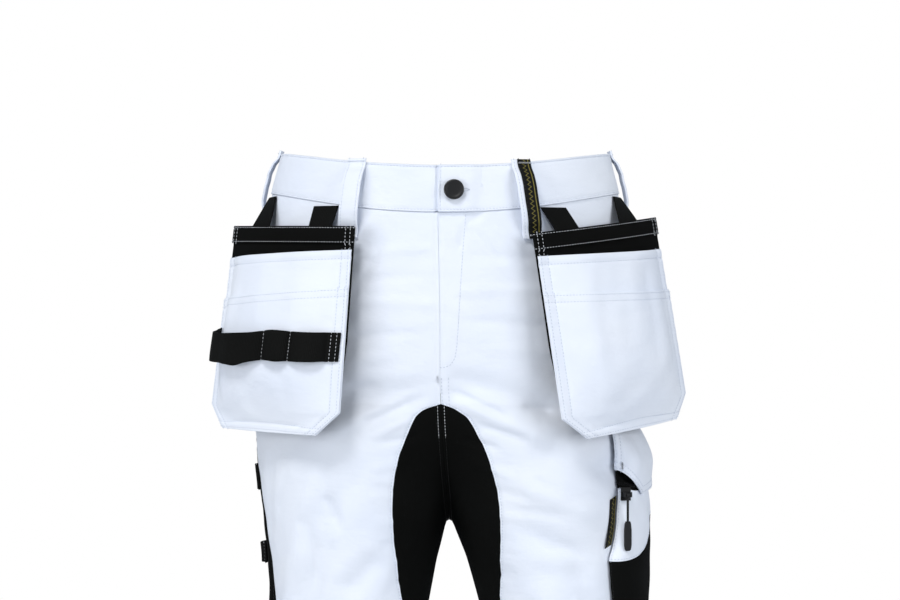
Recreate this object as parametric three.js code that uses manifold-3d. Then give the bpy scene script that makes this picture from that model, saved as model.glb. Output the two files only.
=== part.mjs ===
// Carpenter trousers with two hanging holster pockets, shown worn and hollow.
// Millimetres, +Z up, front towards -Y, the wearer's left at +X.
// The origin is the middle of the waist opening, where the wearer holds the trousers up.
import * as THREE from "three";
import { mergeVertices } from "three/addons/utils/BufferGeometryUtils.js";
import Module from "manifold-3d";

const wasm = await Module();
wasm.setup();

// Cloth walls and seams
const BODY_CLOTH = 1.8;
const BAND_CLOTH = 3.0;
const POCKET_CLOTH = 1.6;
const WEBBING = 1.6;
const SEAM_GAP = 0.3;

// Body sections from the waist to the hem. side and inner are how far the outer and inner edge of a leg
// lie from the middle, front and back are depths from the side line, pole is the axis that a leg's
// section is measured round, round is the power of its super-ellipse, sway shifts the section to the left.
const SECTIONS = table("z side inner front back pole round sway", [
  [45, 153, -150, 109, 111, 60, 2.1, 0],
  [-12, 166, -110, 114, 118, 64, 2.15, -1],
  [-110, 176, -70, 118, 134, 74, 2.25, -2.5],
  [-190, 178, -42, 115, 138, 82, 2.3, -4.5],
  [-250, 177, -20, 109, 132, 86, 2.3, -1.5],
  [-301, 174, 0, 104, 122, 87, 2.3, 2.5],
  [-387, 168.5, 24, 97, 110, 97, 2.25, 7.5],
  [-560, 172, 48, 84, 92, 110, 2.2, 9],
  [-780, 178, 63, 76, 92, 120, 2.2, 8],
  [-1032, 184, 72, 70, 86, 128, 2.2, 6],
]);
const FORK_START = -120; // above this height the section is one round torso
const FORK_END = -290; // below this height it is two legs
const FORK_BLEND = 10; // how softly the two legs run into each other
const HEM = -1030;

// Waistband edges from the front, over the side, to the back
const WAIST = { front: [-21, 22], side: [0, 38], back: [-10, 31] };

// The front closing: the left half laps over the right one along a line a little right of the middle
const CLOSING = { top: -6, lap: 22, proud: 1.2, lapProud: 3.4, step: 4 };

// The stretch gusset: how far its edge lies from the middle on the right and left leg, by height
const GUSSET = table("z right left", [
  [-194, 0, 0],
  [-197, 10, 9],
  [-200, 17, 15],
  [-207, 24, 24],
  [-226, 33, 33.5],
  [-241, 40, 39.5],
  [-262, 46, 44.5],
  [-290, 50, 47],
  [-318, 50.5, 46],
  [-373, 48, 43],
  [-420, 46.5, 44],
  [-470, 46.5, 45.5],
  [-510, 47, 46.5],
  [-548, 47, 47],
]);
const GUSSET_TOP = GUSSET[0].z;
const GUSSET_TIP = GUSSET.at(-1).z;
const GUSSET_TIP_ANGLE = 1.5;
const GUSSET_TIP_ROOM = 1.2;

// Largest creases: a ridge (plus) or trough (minus) along a line on one leg, from angle and height to
// angle and height. Angle 0 faces the front, 90 the side seam and 180 the back.
const CREASES = table("leg angle1 z1 angle2 z2 width depth", [
  [1, -34, -168, 20, -205, 11, -3.2],
  [1, -30, -187, 8, -232, 9, 2.8],
  [1, -5, -236, 44, -262, 12, -3.4],
  [1, -12, -262, 30, -300, 11, 2.6],
  [1, -18, -306, 26, -338, 12, -2.8],
  [1, 8, -330, 26, -412, 11, -3.2],
  [1, -8, -350, 4, -470, 13, 2.6],
  [-1, -32, -176, 14, -198, 10, -2.6],
  [-1, -24, -196, 14, -222, 9, 2.4],
  [-1, 6, -262, 30, -400, 12, -3.4],
  [-1, 26, -300, 50, -470, 13, 3.0],
  [-1, -14, -330, 2, -372, 10, -2.4],
  [1, -40, -500, 70, -548, 17, -4.2],
  [1, -50, -548, 60, -590, 16, 3.4],
  [-1, -40, -520, 66, -556, 17, -4.2],
  [-1, -46, -560, 50, -604, 16, 3.2],
  [1, 152, -262, 206, -318, 16, -4.2],
  [-1, 166, -262, 214, -316, 16, -4.2],
  [1, 156, -320, 214, -352, 15, 3.4],
  [-1, 168, -322, 216, -358, 15, 3.4],
  [1, 110, -522, 238, -560, 18, -4.6],
  [-1, 112, -510, 236, -552, 18, -4.6],
  [1, -60, -922, 70, -956, 16, -4.4],
  [-1, -64, -930, 66, -962, 16, -4.4],
  [1, 118, -900, 236, -948, 17, 4.0],
  [-1, 116, -908, 238, -944, 17, 4.0],
  [1, 40, -968, 150, -990, 14, -3.4],
  [-1, 44, -976, 152, -996, 14, -3.4],
]);

// Holster pockets, in their own flat cut: across is measured to the outer side, down from the top edge
const HOLSTER = {
  topHalf: 78,
  bottomHalf: 85,
  height: 188,
  chamferAcross: 25,
  chamferDown: 22,
  mouth: [20, 29], // the pouch's top edge at its inner and its outer end
  outerPocket: [54, 68], // the outer pocket's top edge, likewise
  border: 9, // flat stitched border of the pouch
  inset: 1, // how far the pouch stays inside the back layer's edge
  binding: 15, // height of the binding on the top edge
  planRadius: 330, // how far the pocket bends round the hip
};
const HOLSTERS = {
  left: { side: 1, x: 143, y: -79, z: -32, yaw: 39, roll: 6.5, pitch: 7, mouthGap: 14, belly: 17, strapAngle: [19, 73] },
  right: { side: -1, x: 146, y: -79, z: -33, yaw: 41, roll: 1.2, pitch: 7, mouthGap: 16, belly: 22, strapAngle: [25, 74] },
};
const STRAP = { width: 26, at: [-38, 40], tuck: 13, room: 0.6 };

// The elastic tool band of the right holster, between its stitched divisions: how far across each loop
// ends, how far it stands off and how far it sags
const ELASTIC = { start: -78, top: 95, height: 26, room: 0.4 };
const ELASTIC_LOOPS = table("end standOff sag", [
  [-65, 0, 0],
  [-38, 7, 1],
  [-12, 5.5, 0],
  [76, 9, 5],
]);

// Belt loops: the angle where each sits, how far it leans out at its foot and how far it stands off
const LOOPS = table("name side angle lean standOff over", [
  ["belt_loop_front_right", -1, 10.5, 0, 7.2, 2],
  ["belt_loop_front_left", 1, 3.5, 6, 7.2, 2],
  ["belt_loop_side_right", -1, 95, 0, 6.2, 3],
  ["belt_loop_side_left", 1, 95, 0, 6.2, 3],
  ["belt_loop_back", 1, null, 0, 6, 0],
]);
const LOOP = { width: 18, below: 28, cloth: 1.8 };
const LOOP_TAPE = { on: "belt_loop_front_left", width: 12.5, offset: 2.4, cloth: 1 };

const BUTTON = { across: 8, z: -1, radius: 9.2, thickness: 4.2 };

// Thigh pocket on the left leg, by angle and height. u runs from its front edge to its back edge.
const THIGH = { back: 128, bottom: -446, standOff: 15 };
const THIGH_FRONT = table("z angle", [
  [-210, 41],
  [-273, 41],
  [-300, 38.5],
  [-325, 34],
  [-339, 30],
  [-446, 31],
]);
const THIGH_EDGES = table("u flap mouth split", [
  [0, -256, -273, -339],
  [0.06, -269, -275, -338],
  [0.13, -279, -275, -336],
  [0.26, -276, -269, -327],
  [0.38, -274, -267, -303],
  [0.55, -274, -265, -299],
  [1, -274, -264, -296],
]);
const FLAP = { top: -212, front: -2, back: 2, extra: 1.4, seat: 0.35, room: 2.4 };
const ZIP_HEIGHT = 20;
const SLIDER = { u: 0.012, below: 5, room: 0.8, width: 9, height: 12, depth: 2.6 };
const PIN = { slot: 3.8, cheek: 1.7, radius: 1.2, out: 7.5 };
const PULL = { eye: 2.6, play: 0.3, eyeWidth: 3, cord: 24, cordRadius: 1.1, grip: 27, width: 7, depth: 3.4 };
const TAG = { width: 9, top: -283, height: 44, cloth: 1 };

// Rule pocket on the right leg, by angle and height
const RULE = { front: [111, 92], back: 150, top: -232, bottom: -478, standOff: 7.5 };
const RULE_LOOPS = table("name z height standOff", [
  ["rule_loop_upper", -271.5, 24, 7.5],
  ["rule_loop_lower", -343, 19, 8.5],
]);
const RULE_LOOP = { from: 0.12, to: 0.88, room: 0.5 };

const COLOURS = {
  white: [0xeaeef6, 0.9],
  stretch: [0x121214, 0.85],
  cordura: [0x141516, 0.8],
  webbing: [0x101011, 0.75],
  tape: [0x17160f, 0.7],
  button: [0x0b0b0c, 0.35],
  zip: [0x1a1a1b, 0.45],
};

// Small helpers
function table(columns, rows) {
  const names = columns.split(" ");
  return rows.map((row) => Object.fromEntries(names.map((name, i) => [name, row[i]])));
}

const radians = (degrees) => (degrees * Math.PI) / 180;
const mix = (a, b, t) => a + (b - a) * t;
const clamp = (v, low, high) => Math.min(high, Math.max(low, v));
const quarter = (t) => Math.sqrt(1 - (1 - clamp(t, 0, 1)) ** 2);
const smooth = (t) => clamp(t, 0, 1) ** 2 * (3 - 2 * clamp(t, 0, 1));

// A smooth curve through one column of a table, by its z column, which falls from row to row.
function columnAt(rows, name, z) {
  const last = rows.length - 1;
  const at = clamp(rows.findIndex((row) => row.z <= z), 1, last);
  const i = z < rows[last].z ? last : at;
  const slope = (k) => {
    const a = rows[clamp(k - 1, 0, last)];
    const b = rows[clamp(k + 1, 0, last)];
    return (b[name] - a[name]) / (b.z - a.z);
  };
  const [p, q] = [rows[i - 1], rows[i]];
  const span = q.z - p.z;
  const t = clamp((z - p.z) / span, 0, 1);
  const [t2, t3] = [t * t, t * t * t];
  return (
    (2 * t3 - 3 * t2 + 1) * p[name] +
    (t3 - 2 * t2 + t) * span * slope(i - 1) +
    (3 * t2 - 2 * t3) * q[name] +
    (t3 - t2) * span * slope(i)
  );
}

const sectionCache = new Map();
function sectionAt(z) {
  if (!sectionCache.has(z)) {
    const section = { z };
    for (const name of Object.keys(SECTIONS[0]).slice(1)) section[name] = columnAt(SECTIONS, name, z);
    sectionCache.set(z, section);
  }
  return sectionCache.get(z);
}

// The body's skin: below nought inside the trousers, above nought outside, and nought on the cloth.
function skin(x, y, z) {
  const { side, inner, front, back, round } = sectionAt(z);
  const middle = (back - front) / 2;
  const depth = (back + front) / 2;
  const deep = (Math.abs(y - middle) / depth) ** round;
  const oval = (across, half) => (((Math.abs(across) / half) ** round + deep) ** (1 / round) - 1) * half;
  const fork = smooth((FORK_START - z) / (FORK_START - FORK_END));
  const torso = fork < 1 ? oval(x, side) * (depth / side) : 0;
  if (fork === 0) return torso;
  const legMiddle = (side + inner) / 2;
  const legHalf = (side - inner) / 2;
  const [a, b] = [oval(x - legMiddle, legHalf), oval(x + legMiddle, legHalf)];
  const overlap = Math.max(FORK_BLEND - Math.abs(a - b), 0) / FORK_BLEND;
  const legs = Math.min(a, b) - (overlap * overlap * FORK_BLEND) / 4;
  return mix(torso, legs, fork);
}

function skinNormal(p) {
  const e = 0.5;
  return new THREE.Vector3(
    skin(p.x + e, p.y, p.z) - skin(p.x - e, p.y, p.z),
    skin(p.x, p.y + e, p.z) - skin(p.x, p.y - e, p.z),
    skin(p.x, p.y, p.z + e) - skin(p.x, p.y, p.z - e),
  ).normalize();
}

// Where a ray from inside the body leaves it.
function leave(from, direction) {
  const way = direction.clone().normalize();
  const at = (r) => from.clone().addScaledVector(way, r);
  const value = (r) => {
    const p = at(r);
    return skin(p.x, p.y, p.z);
  };
  const step = 6;
  let far = step;
  while (value(far) < 0 && far < 400) far += step;
  let near = far - step;
  for (let i = 0; i < 26; i++) {
    const half = (near + far) / 2;
    if (value(half) < 0) near = half;
    else far = half;
  }
  return at(near);
}

const legName = (side) => (side > 0 ? "left" : "right");

const poleAt = (z) => {
  const { pole, front, back } = sectionAt(z);
  return new THREE.Vector3(pole, (back - front) / 2, z);
};

// A point of the skin by its angle round the pole, on the leg at +X.
function skinPoint(angle, z) {
  const a = radians(angle);
  return leave(poleAt(z), new THREE.Vector3(Math.sin(a), -Math.cos(a), 0));
}

function angleOf(p) {
  const pole = poleAt(p.z);
  const angle = THREE.MathUtils.radToDeg(Math.atan2(p.x - pole.x, -(p.y - pole.y)));
  return angle < -90.01 ? angle + 360 : angle;
}

// The angle, on the front or back of the leg, at which the skin lies a given distance from the middle.
function angleAcross(across, z, back) {
  let [low, high] = [-90, 0];
  for (let i = 0; i < 30; i++) {
    const half = (low + high) / 2;
    if (skinPoint(back ? 180 - half : half, z).x < across) low = half;
    else high = half;
  }
  return back ? 180 - low : low;
}

// How far the creases lift the cloth at a point of one leg.
function creaseAt(leg, p) {
  const angle = angleOf(p);
  const section = sectionAt(p.z);
  const reach = radians((section.front + section.back + section.side - section.inner) / 4);
  let lift = 0;
  for (const crease of CREASES) {
    if (crease.leg !== leg) continue;
    const alongX = (crease.angle2 - crease.angle1) * reach;
    const alongZ = crease.z2 - crease.z1;
    const toX = (angle - crease.angle1) * reach;
    const toZ = p.z - crease.z1;
    const t = clamp((toX * alongX + toZ * alongZ) / (alongX ** 2 + alongZ ** 2), 0, 1);
    const away = Math.hypot(toX - t * alongX, toZ - t * alongZ) / crease.width;
    const fade = smooth(Math.min(t, 1 - t) * 3.2 + 0.15);
    lift += crease.depth * fade * Math.exp(-away * away);
  }
  return lift * smooth(Math.abs(p.x) / 14);
}

// Puts a point of the +X leg on the leg asked for, creased, swayed and lifted off the cloth.
function dress(side, p, lift = 0) {
  const n = skinNormal(p);
  const out = p.clone().addScaledVector(n, creaseAt(side, p) + lift);
  out.x = out.x * side + sectionAt(p.z).sway;
  n.x *= side;
  return { p: out, n };
}

// Geometry from a grid of points and normals: a closed wall with its outer face on the points.
function wall(grid, thickness) {
  const rows = grid.length;
  const columns = grid[0].length;
  const positions = [];
  for (const depth of [0, thickness])
    for (const row of grid) for (const { p, n } of row) positions.push(...p.clone().addScaledVector(n, -depth));
  const at = (layer, j, i) => layer * rows * columns + j * columns + i;
  const index = [];
  const quad = (a, b, c, d) => index.push(a, b, c, a, c, d);
  for (let j = 0; j + 1 < rows; j++)
    for (let i = 0; i + 1 < columns; i++) {
      quad(at(0, j, i), at(0, j + 1, i), at(0, j + 1, i + 1), at(0, j, i + 1));
      quad(at(1, j, i), at(1, j, i + 1), at(1, j + 1, i + 1), at(1, j + 1, i));
    }
  for (let i = 0; i + 1 < columns; i++) {
    quad(at(0, 0, i), at(0, 0, i + 1), at(1, 0, i + 1), at(1, 0, i));
    quad(at(0, rows - 1, i + 1), at(0, rows - 1, i), at(1, rows - 1, i), at(1, rows - 1, i + 1));
  }
  for (let j = 0; j + 1 < rows; j++) {
    quad(at(0, j + 1, 0), at(0, j, 0), at(1, j, 0), at(1, j + 1, 0));
    quad(at(0, j, columns - 1), at(0, j + 1, columns - 1), at(1, j + 1, columns - 1), at(1, j, columns - 1));
  }
  return outward(positions, index);
}

// A geometry whose faces point out, whichever way round its grid was laid.
function outward(positions, index) {
  let volume = 0;
  const corner = (k) => new THREE.Vector3().fromArray(positions, index[k] * 3);
  for (let k = 0; k < index.length; k += 3) volume += corner(k).dot(corner(k + 1).cross(corner(k + 2)));
  if (volume < 0) for (let k = 0; k < index.length; k += 3) [index[k], index[k + 1]] = [index[k + 1], index[k]];
  const geometry = new THREE.BufferGeometry();
  geometry.setAttribute("position", new THREE.Float32BufferAttribute(positions, 3));
  geometry.setIndex(index);
  geometry.computeVertexNormals();
  return geometry;
}

const gridOf = (rows, columns, pointAt) =>
  Array.from({ length: rows + 1 }, (_, j) =>
    Array.from({ length: columns + 1 }, (_, i) => pointAt(i / columns, j / rows)),
  );

// Draws the border of a grid in by half a seam, so that neighbours stay apart.
function drawIn(grid, { start = true, end = true, top = true, bottom = true } = {}) {
  const [rows, columns] = [grid.length - 1, grid[0].length - 1];
  const pull = (point, next) => {
    const step = next.p.clone().sub(point.p);
    point.p.addScaledVector(step.normalize(), SEAM_GAP / 2);
  };
  for (let j = 0; j <= rows; j++) {
    if (start) pull(grid[j][0], grid[j][1]);
    if (end) pull(grid[j][columns], grid[j][columns - 1]);
  }
  for (let i = 0; i <= columns; i++) {
    if (top) pull(grid[0][i], grid[1][i]);
    if (bottom) pull(grid[rows][i], grid[rows - 1][i]);
  }
  return grid;
}

// The height of a waistband edge, 0 its lower and 1 its upper one, by angle round the front or back.
const MIDDLE_ANGLE = { front: angleAcross(0, WAIST.front[0], false), back: angleAcross(0, WAIST.back[0], true) };

function waistEdge(edge, angle) {
  const place = angle > 90 ? "back" : "front";
  const u = (angle - MIDDLE_ANGLE[place]) / (90 - MIDDLE_ANGLE[place]);
  return mix(WAIST[place][edge], WAIST.side[edge], smooth(u));
}

// Rows of a leg panel: they run from the waist, beside the gusset, and down the inseam to the hem.
const ROWS_ABOVE = 7;
const ROWS_GUSSET = 13;
const ROWS_BELOW = 8;
const PANEL_COLUMNS = 10;

// Heights of the gusset's edge: close together at the round top and at the tip.
const gussetHeight = (t) => mix(GUSSET_TOP, GUSSET_TIP, (1 - Math.cos(Math.PI * t)) / 2);
const gussetAcross = (side, z) => columnAt(GUSSET, legName(side), z);

// Half the gusset's width at its tip, as an angle from the inseam.
const tipAngle = (back) => (back ? 270 - GUSSET_TIP_ANGLE : GUSSET_TIP_ANGLE - 90);

// How far across the front or back middle seam lies: the front one leans with the closing.
function middleSeam(side, back, z) {
  if (back) return 0;
  return side * mix(CLOSING.top, 0, clamp((WAIST.front[0] - z) / (WAIST.front[0] - GUSSET_TOP), 0, 1));
}

function panelPoint(side, back, u, k) {
  const beside = ROWS_ABOVE + ROWS_GUSSET;
  if (k <= ROWS_ABOVE) {
    const place = back ? "back" : "front";
    const low = mix(WAIST[place][0], GUSSET_TOP, k / ROWS_ABOVE);
    const top = waistEdge(0, mix(angleAcross(middleSeam(side, back, WAIST[place][0]), WAIST[place][0], back), 90, u));
    const angle = mix(angleAcross(middleSeam(side, back, low), low, back), 90, u);
    return dress(side, skinPoint(angle, mix(top, GUSSET_TOP, k / ROWS_ABOVE)));
  }
  if (k < beside) {
    const z = gussetHeight((k - ROWS_ABOVE) / ROWS_GUSSET);
    return dress(side, skinPoint(mix(angleAcross(gussetAcross(side, z), z, back), 90, u), z));
  }
  if (k === beside) return dress(side, skinPoint(mix(tipAngle(back), 90, u), GUSSET_TIP));
  const z = mix(GUSSET_TIP - GUSSET_TIP_ROOM, HEM, (k - beside - 1) / ROWS_BELOW);
  return dress(side, skinPoint(mix(back ? 270 : -90, 90, u), z));
}

function bodyPanel(side, back) {
  const rows = ROWS_ABOVE + ROWS_GUSSET + 1 + ROWS_BELOW;
  const grid = gridOf(rows, PANEL_COLUMNS, (u, v) => panelPoint(side, back, u, Math.round(v * rows)));
  return wall(drawIn(grid, { bottom: false }), BODY_CLOTH);
}

// Half the gusset: slings that run from the front edge, under the fork or round the inner leg, to the
// back edge, from the middle seam down to a tip on the inseam.
function gussetPoint(side, q, t) {
  const z = gussetHeight(t);
  const across = gussetAcross(side, z);
  const edge = (back) => skinPoint(t === 1 ? tipAngle(back) : angleAcross(across, z, back), z);
  const [front, rear] = [edge(false), edge(true)];
  const pole = poleAt(z);
  const origin = new THREE.Vector3(mix(across, pole.x, t ** 2), pole.y, z);
  const lowest = t === 0 ? SADDLE : skinPoint(-90, mix(SADDLE.z, GUSSET_TIP, t ** 1.8));
  const turn = Math.PI * q;
  const way = lowest.clone().sub(origin).multiplyScalar(Math.sin(turn));
  way.addScaledVector((q < 0.5 ? front : rear).clone().sub(origin), Math.abs(Math.cos(turn)));
  return dress(side, leave(origin, way));
}

// The lowest point of the fork, straight below the middle.
const SADDLE = leave(new THREE.Vector3(0, poleAt(GUSSET_TOP).y, GUSSET_TOP), new THREE.Vector3(0, 0, -1));

function gusset(side) {
  return wall(drawIn(gridOf(ROWS_GUSSET, 12, (q, t) => gussetPoint(side, q, t))), BODY_CLOTH);
}

// Columns of a waistband half at the closing: how far across each lies, and how far it stands proud.
// The left half rises over the right one's tongue.
function closingColumns(side) {
  const { top, lap, proud, lapProud, step } = CLOSING;
  const under = lapProud - BAND_CLOTH - SEAM_GAP;
  if (side > 0) {
    return [
      [top, lapProud],
      [lap, lapProud],
      [lap + 3 * step, proud],
    ];
  }
  return [
    [step - lap, under],
    [-top + SEAM_GAP, under],
    [-top + step, proud],
  ];
}

// One half of the waistband, from the front closing, over the side seam, to the middle of the back.
function waistband(side) {
  const closing = closingColumns(side);
  const columns = 20;
  const grid = gridOf(3, columns, (s, v) => {
    const i = Math.round(s * columns);
    const [across, proud] = closing[Math.min(i, closing.length - 1)];
    const start = angleAcross(across, WAIST.front[0], false);
    const rest = (i - closing.length + 1) / (columns - closing.length + 1);
    const end = MIDDLE_ANGLE.back;
    const angle = i < closing.length ? start : mix(start, end, rest);
    const room = side < 0 && i < 2 ? 1 : 0;
    const z = mix(waistEdge(0, angle) + room, waistEdge(1, angle), v);
    const exact = i < closing.length ? angleAcross(across, z, false) : angle;
    const last = i === columns ? angleAcross(0, z, true) : exact;
    return dress(side, skinPoint(last, z), proud);
  });
  return wall(drawIn(grid, { start: false, bottom: false }), BAND_CLOTH);
}

// A strap from a list of middle points: each has its place, its outward normal and its width direction.
function strap(stations, width, thickness) {
  const grid = stations.map(({ p, n, w }) =>
    [-0.5, 0.5].map((t) => ({ p: p.clone().addScaledVector(w, t * width), n })),
  );
  return wall(grid, thickness);
}

// A point of the waistband, or of the cloth below it, with its outward and its width direction.
function waistStation(side, angle, z, lift, aside = 0) {
  const point = dress(side, skinPoint(angle, z), lift);
  const w = new THREE.Vector3(-point.n.y * side, point.n.x * side, 0).normalize();
  point.n.z = 0;
  point.n.normalize();
  point.p.addScaledVector(w, aside);
  return { ...point, w };
}

// Heights of a loop's bow from its top to its foot: it lies flat at its two ends.
const LOOP_BOW = table("along rise", [
  [0, 0],
  [0.1, 0],
  [0.2, 0.7],
  [0.34, 1],
  [0.5, 1],
  [0.66, 1],
  [0.8, 0.7],
  [0.9, 0],
  [1, 0],
]);

function loopStations({ side, angle, lean, standOff, over }, extra = 0, offset = 0) {
  const at = angle === null ? MIDDLE_ANGLE.back : angle;
  const [top, foot] = [waistEdge(1, at) + over, waistEdge(0, at) - LOOP.below];
  const seat = CLOSING.proud + SEAM_GAP + LOOP.cloth + extra;
  return LOOP_BOW.map(({ along, rise }) =>
    waistStation(side, at, mix(top, foot, along), seat + rise * standOff, offset + lean * along),
  );
}

const beltLoop = (loop) => strap(loopStations(loop), LOOP.width, LOOP.cloth);

// The tape sewn down the middle of one front belt loop.
function loopTape() {
  const loop = LOOPS.find(({ name }) => name === LOOP_TAPE.on);
  const stations = loopStations(loop, LOOP_TAPE.cloth + SEAM_GAP, LOOP_TAPE.offset);
  return strap(stations, LOOP_TAPE.width, LOOP_TAPE.cloth);
}

// The closing button: a flat disc with a rounded rim on a short shank.
function button() {
  const { radius, thickness } = BUTTON;
  const profile = [
    [0, 0],
    [radius * 0.35, 0],
    [radius * 0.35, thickness * 0.4],
    [radius * 0.9, thickness * 0.4],
    [radius, thickness * 0.6],
    [radius, thickness * 0.82],
    [radius * 0.9, thickness],
    [radius * 0.62, thickness],
    [radius * 0.55, thickness * 0.88],
    [0, thickness * 0.88],
  ].map(([r, h]) => new THREE.Vector2(r, h));
  return new THREE.LatheGeometry(profile, 24);
}

// Holster pockets
function holsterPoint(holster, across, down, lift) {
  const { side, x, y, z, yaw, roll, pitch } = holster;
  const [cosRoll, sinRoll] = [Math.cos(radians(roll)), Math.sin(radians(roll))];
  const a = across * cosRoll + down * sinRoll;
  const b = down * cosRoll - across * sinRoll;
  const bend = a / HOLSTER.planRadius;
  const sideways = (HOLSTER.planRadius + lift) * Math.sin(bend);
  const out = (HOLSTER.planRadius + lift) * Math.cos(bend) - HOLSTER.planRadius + b * Math.tan(radians(pitch));
  const [cosYaw, sinYaw] = [Math.cos(radians(yaw)), Math.sin(radians(yaw))];
  const p = new THREE.Vector3(x + sideways * cosYaw + out * sinYaw, y + sideways * sinYaw - out * cosYaw, z - b);
  const turn = radians(yaw) + bend;
  const n = new THREE.Vector3(Math.sin(turn), -Math.cos(turn), 0);
  p.x *= side;
  n.x *= side;
  return { p, n };
}

// Half-width of the pocket at a distance from its top edge, with the bottom corners cut off.
function holsterHalf(down) {
  const { topHalf, bottomHalf, height, chamferAcross, chamferDown } = HOLSTER;
  const straight = mix(topHalf, bottomHalf, down / height);
  const cut = clamp((down - (height - chamferDown)) / chamferDown, 0, 1);
  return straight - cut * chamferAcross;
}

// How far the pouch stands off the back layer.
function pouchLift(holster, across, down) {
  const { mouth, height, border } = HOLSTER;
  const edge = holsterHalf(Math.min(down, height - 1)) - border - Math.abs(across);
  const foot = height - border - down;
  const rise = (room, full) => Math.sin((clamp(room / full, 0, 1) * Math.PI) / 2);
  const t = clamp((down - mouth[0]) / (height - mouth[0]), 0, 1);
  const depth = mix(holster.mouthGap, holster.belly, smooth(t * 1.7));
  return rise(edge, 50) * rise(foot, 62) * depth;
}

const FRONT_OF_BACK = POCKET_CLOTH + SEAM_GAP;

const HOLSTER_ROWS_ABOVE = 3;

// The rows of a pouch down one of its columns, with a row at the outer pocket's edge and each corner.
function pouchRows(across) {
  const { mouth, outerPocket, height, chamferDown, border } = HOLSTER;
  const knee = height - chamferDown;
  const outer = clamp(across / HOLSTER.topHalf / 2 + 0.5, 0, 1);
  const between = (a, b, count) => Array.from({ length: count }, (_, j) => mix(a, b, j / count));
  const [top, middle] = [mix(...mouth, outer), mix(...outerPocket, outer)];
  return [
    ...between(top, middle, HOLSTER_ROWS_ABOVE),
    ...between(middle, knee, 5),
    knee,
    height - border,
    height - HOLSTER.inset,
  ];
}

// The columns of a pouch, as parts of the half-width inside its border.
const POUCH_COLUMNS = [-1, -0.94, -0.8, -0.55, -0.2, 0.2, 0.55, 0.8, 0.94, 1];

// A grid with each normal worked out from its neighbours.
function withOwnNormals(grid) {
  const at = (j, i) => grid[clamp(j, 0, grid.length - 1)][clamp(i, 0, grid[0].length - 1)].p;
  return grid.map((row, j) =>
    row.map(({ p, n }, i) => {
      const own = at(j + 1, i).clone().sub(at(j - 1, i)).cross(at(j, i + 1).clone().sub(at(j, i - 1))).normalize();
      return { p, n: own.dot(n) < 0 ? own.negate() : own };
    }),
  );
}

// A flat layer of the pocket between two distances from its top edge.
function holsterLayer(holster, downs, lift) {
  const columns = 8;
  const grid = downs.map((down) =>
    Array.from({ length: columns + 1 }, (_, i) =>
      holsterPoint(holster, holsterHalf(down) * ((2 * i) / columns - 1), down, lift),
    ),
  );
  return wall(grid, POCKET_CLOTH);
}

function holsterBack(holster) {
  const { height, chamferDown } = HOLSTER;
  const knee = height - chamferDown;
  return holsterLayer(holster, [0, knee * 0.33, knee * 0.67, knee, height], 0);
}

const holsterBinding = (holster) => holsterLayer(holster, [-1, HOLSTER.binding], FRONT_OF_BACK);

// A point on the pouch with its own outward normal.
function pouchSurface(holster, across, down) {
  const at = (a, d) => holsterPoint(holster, a, d, FRONT_OF_BACK + pouchLift(holster, a, d));
  const step = 4;
  const [{ p, n }, up, low] = [at(across, down), at(across, down - step).p, at(across, down + step).p];
  const own = low.sub(up).cross(at(across + step, down).p.sub(at(across - step, down).p)).normalize();
  return { p, n: own.dot(n) < 0 ? own.negate() : own };
}

// The pouch's points: one column along each edge of its flat border and the others between.
function pouchGrid(holster) {
  const count = pouchRows(0).length;
  const columns = [-2, ...POUCH_COLUMNS, 2];
  const grid = Array.from({ length: count }, (_, j) =>
    columns.map((part) => {
      const reach = (down) => {
        const half = holsterHalf(down) - HOLSTER.inset;
        return Math.abs(part) > 1 ? half * Math.sign(part) : (half - HOLSTER.border) * part;
      };
      const down = pouchRows(reach(HOLSTER.mouth[0]))[j];
      const across = reach(down);
      return holsterPoint(holster, across, down, FRONT_OF_BACK + pouchLift(holster, across, down));
    }),
  );
  return withOwnNormals(grid);
}

const holsterPouch = (holster) => wall(pouchGrid(holster), POCKET_CLOTH);

// The outer pocket lies on the pouch, and is made from its points.
function holsterOuterPocket(holster) {
  const lift = POCKET_CLOTH + SEAM_GAP;
  const grid = pouchGrid(holster).slice(HOLSTER_ROWS_ABOVE);
  return wall(grid.map((row) => row.map(({ p, n }) => ({ p: p.clone().addScaledVector(n, lift), n }))), POCKET_CLOTH);
}

// A webbing strap from under the waistband to the back of the pocket's top edge.
function holsterStrap(holster, index) {
  const across = STRAP.at[index];
  const angle = holster.strapAngle[index];
  const start = waistStation(holster.side, angle, waistEdge(0, angle) - 2.5, WEBBING + SEAM_GAP);
  const backFace = -POCKET_CLOTH - STRAP.room;
  const end = (down) => {
    const point = holsterPoint(holster, across, down, backFace);
    const w = holsterPoint(holster, across + 1, down, backFace).p.sub(point.p).normalize();
    return { ...point, w };
  };
  const [top, foot] = [end(1), end(STRAP.tuck)];
  const towards = start.w.dot(top.w) < 0 ? -1 : 1;
  start.w.multiplyScalar(towards);
  const steps = [0, 0.25, 0.5, 0.75, 1];
  const between = steps.map((t) => ({
    p: start.p.clone().lerp(top.p, t),
    n: start.n.clone().lerp(top.n, t).normalize(),
    w: start.w.clone().lerp(top.w, t).normalize(),
  }));
  return strap([...between, foot], STRAP.width, WEBBING);
}

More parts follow.
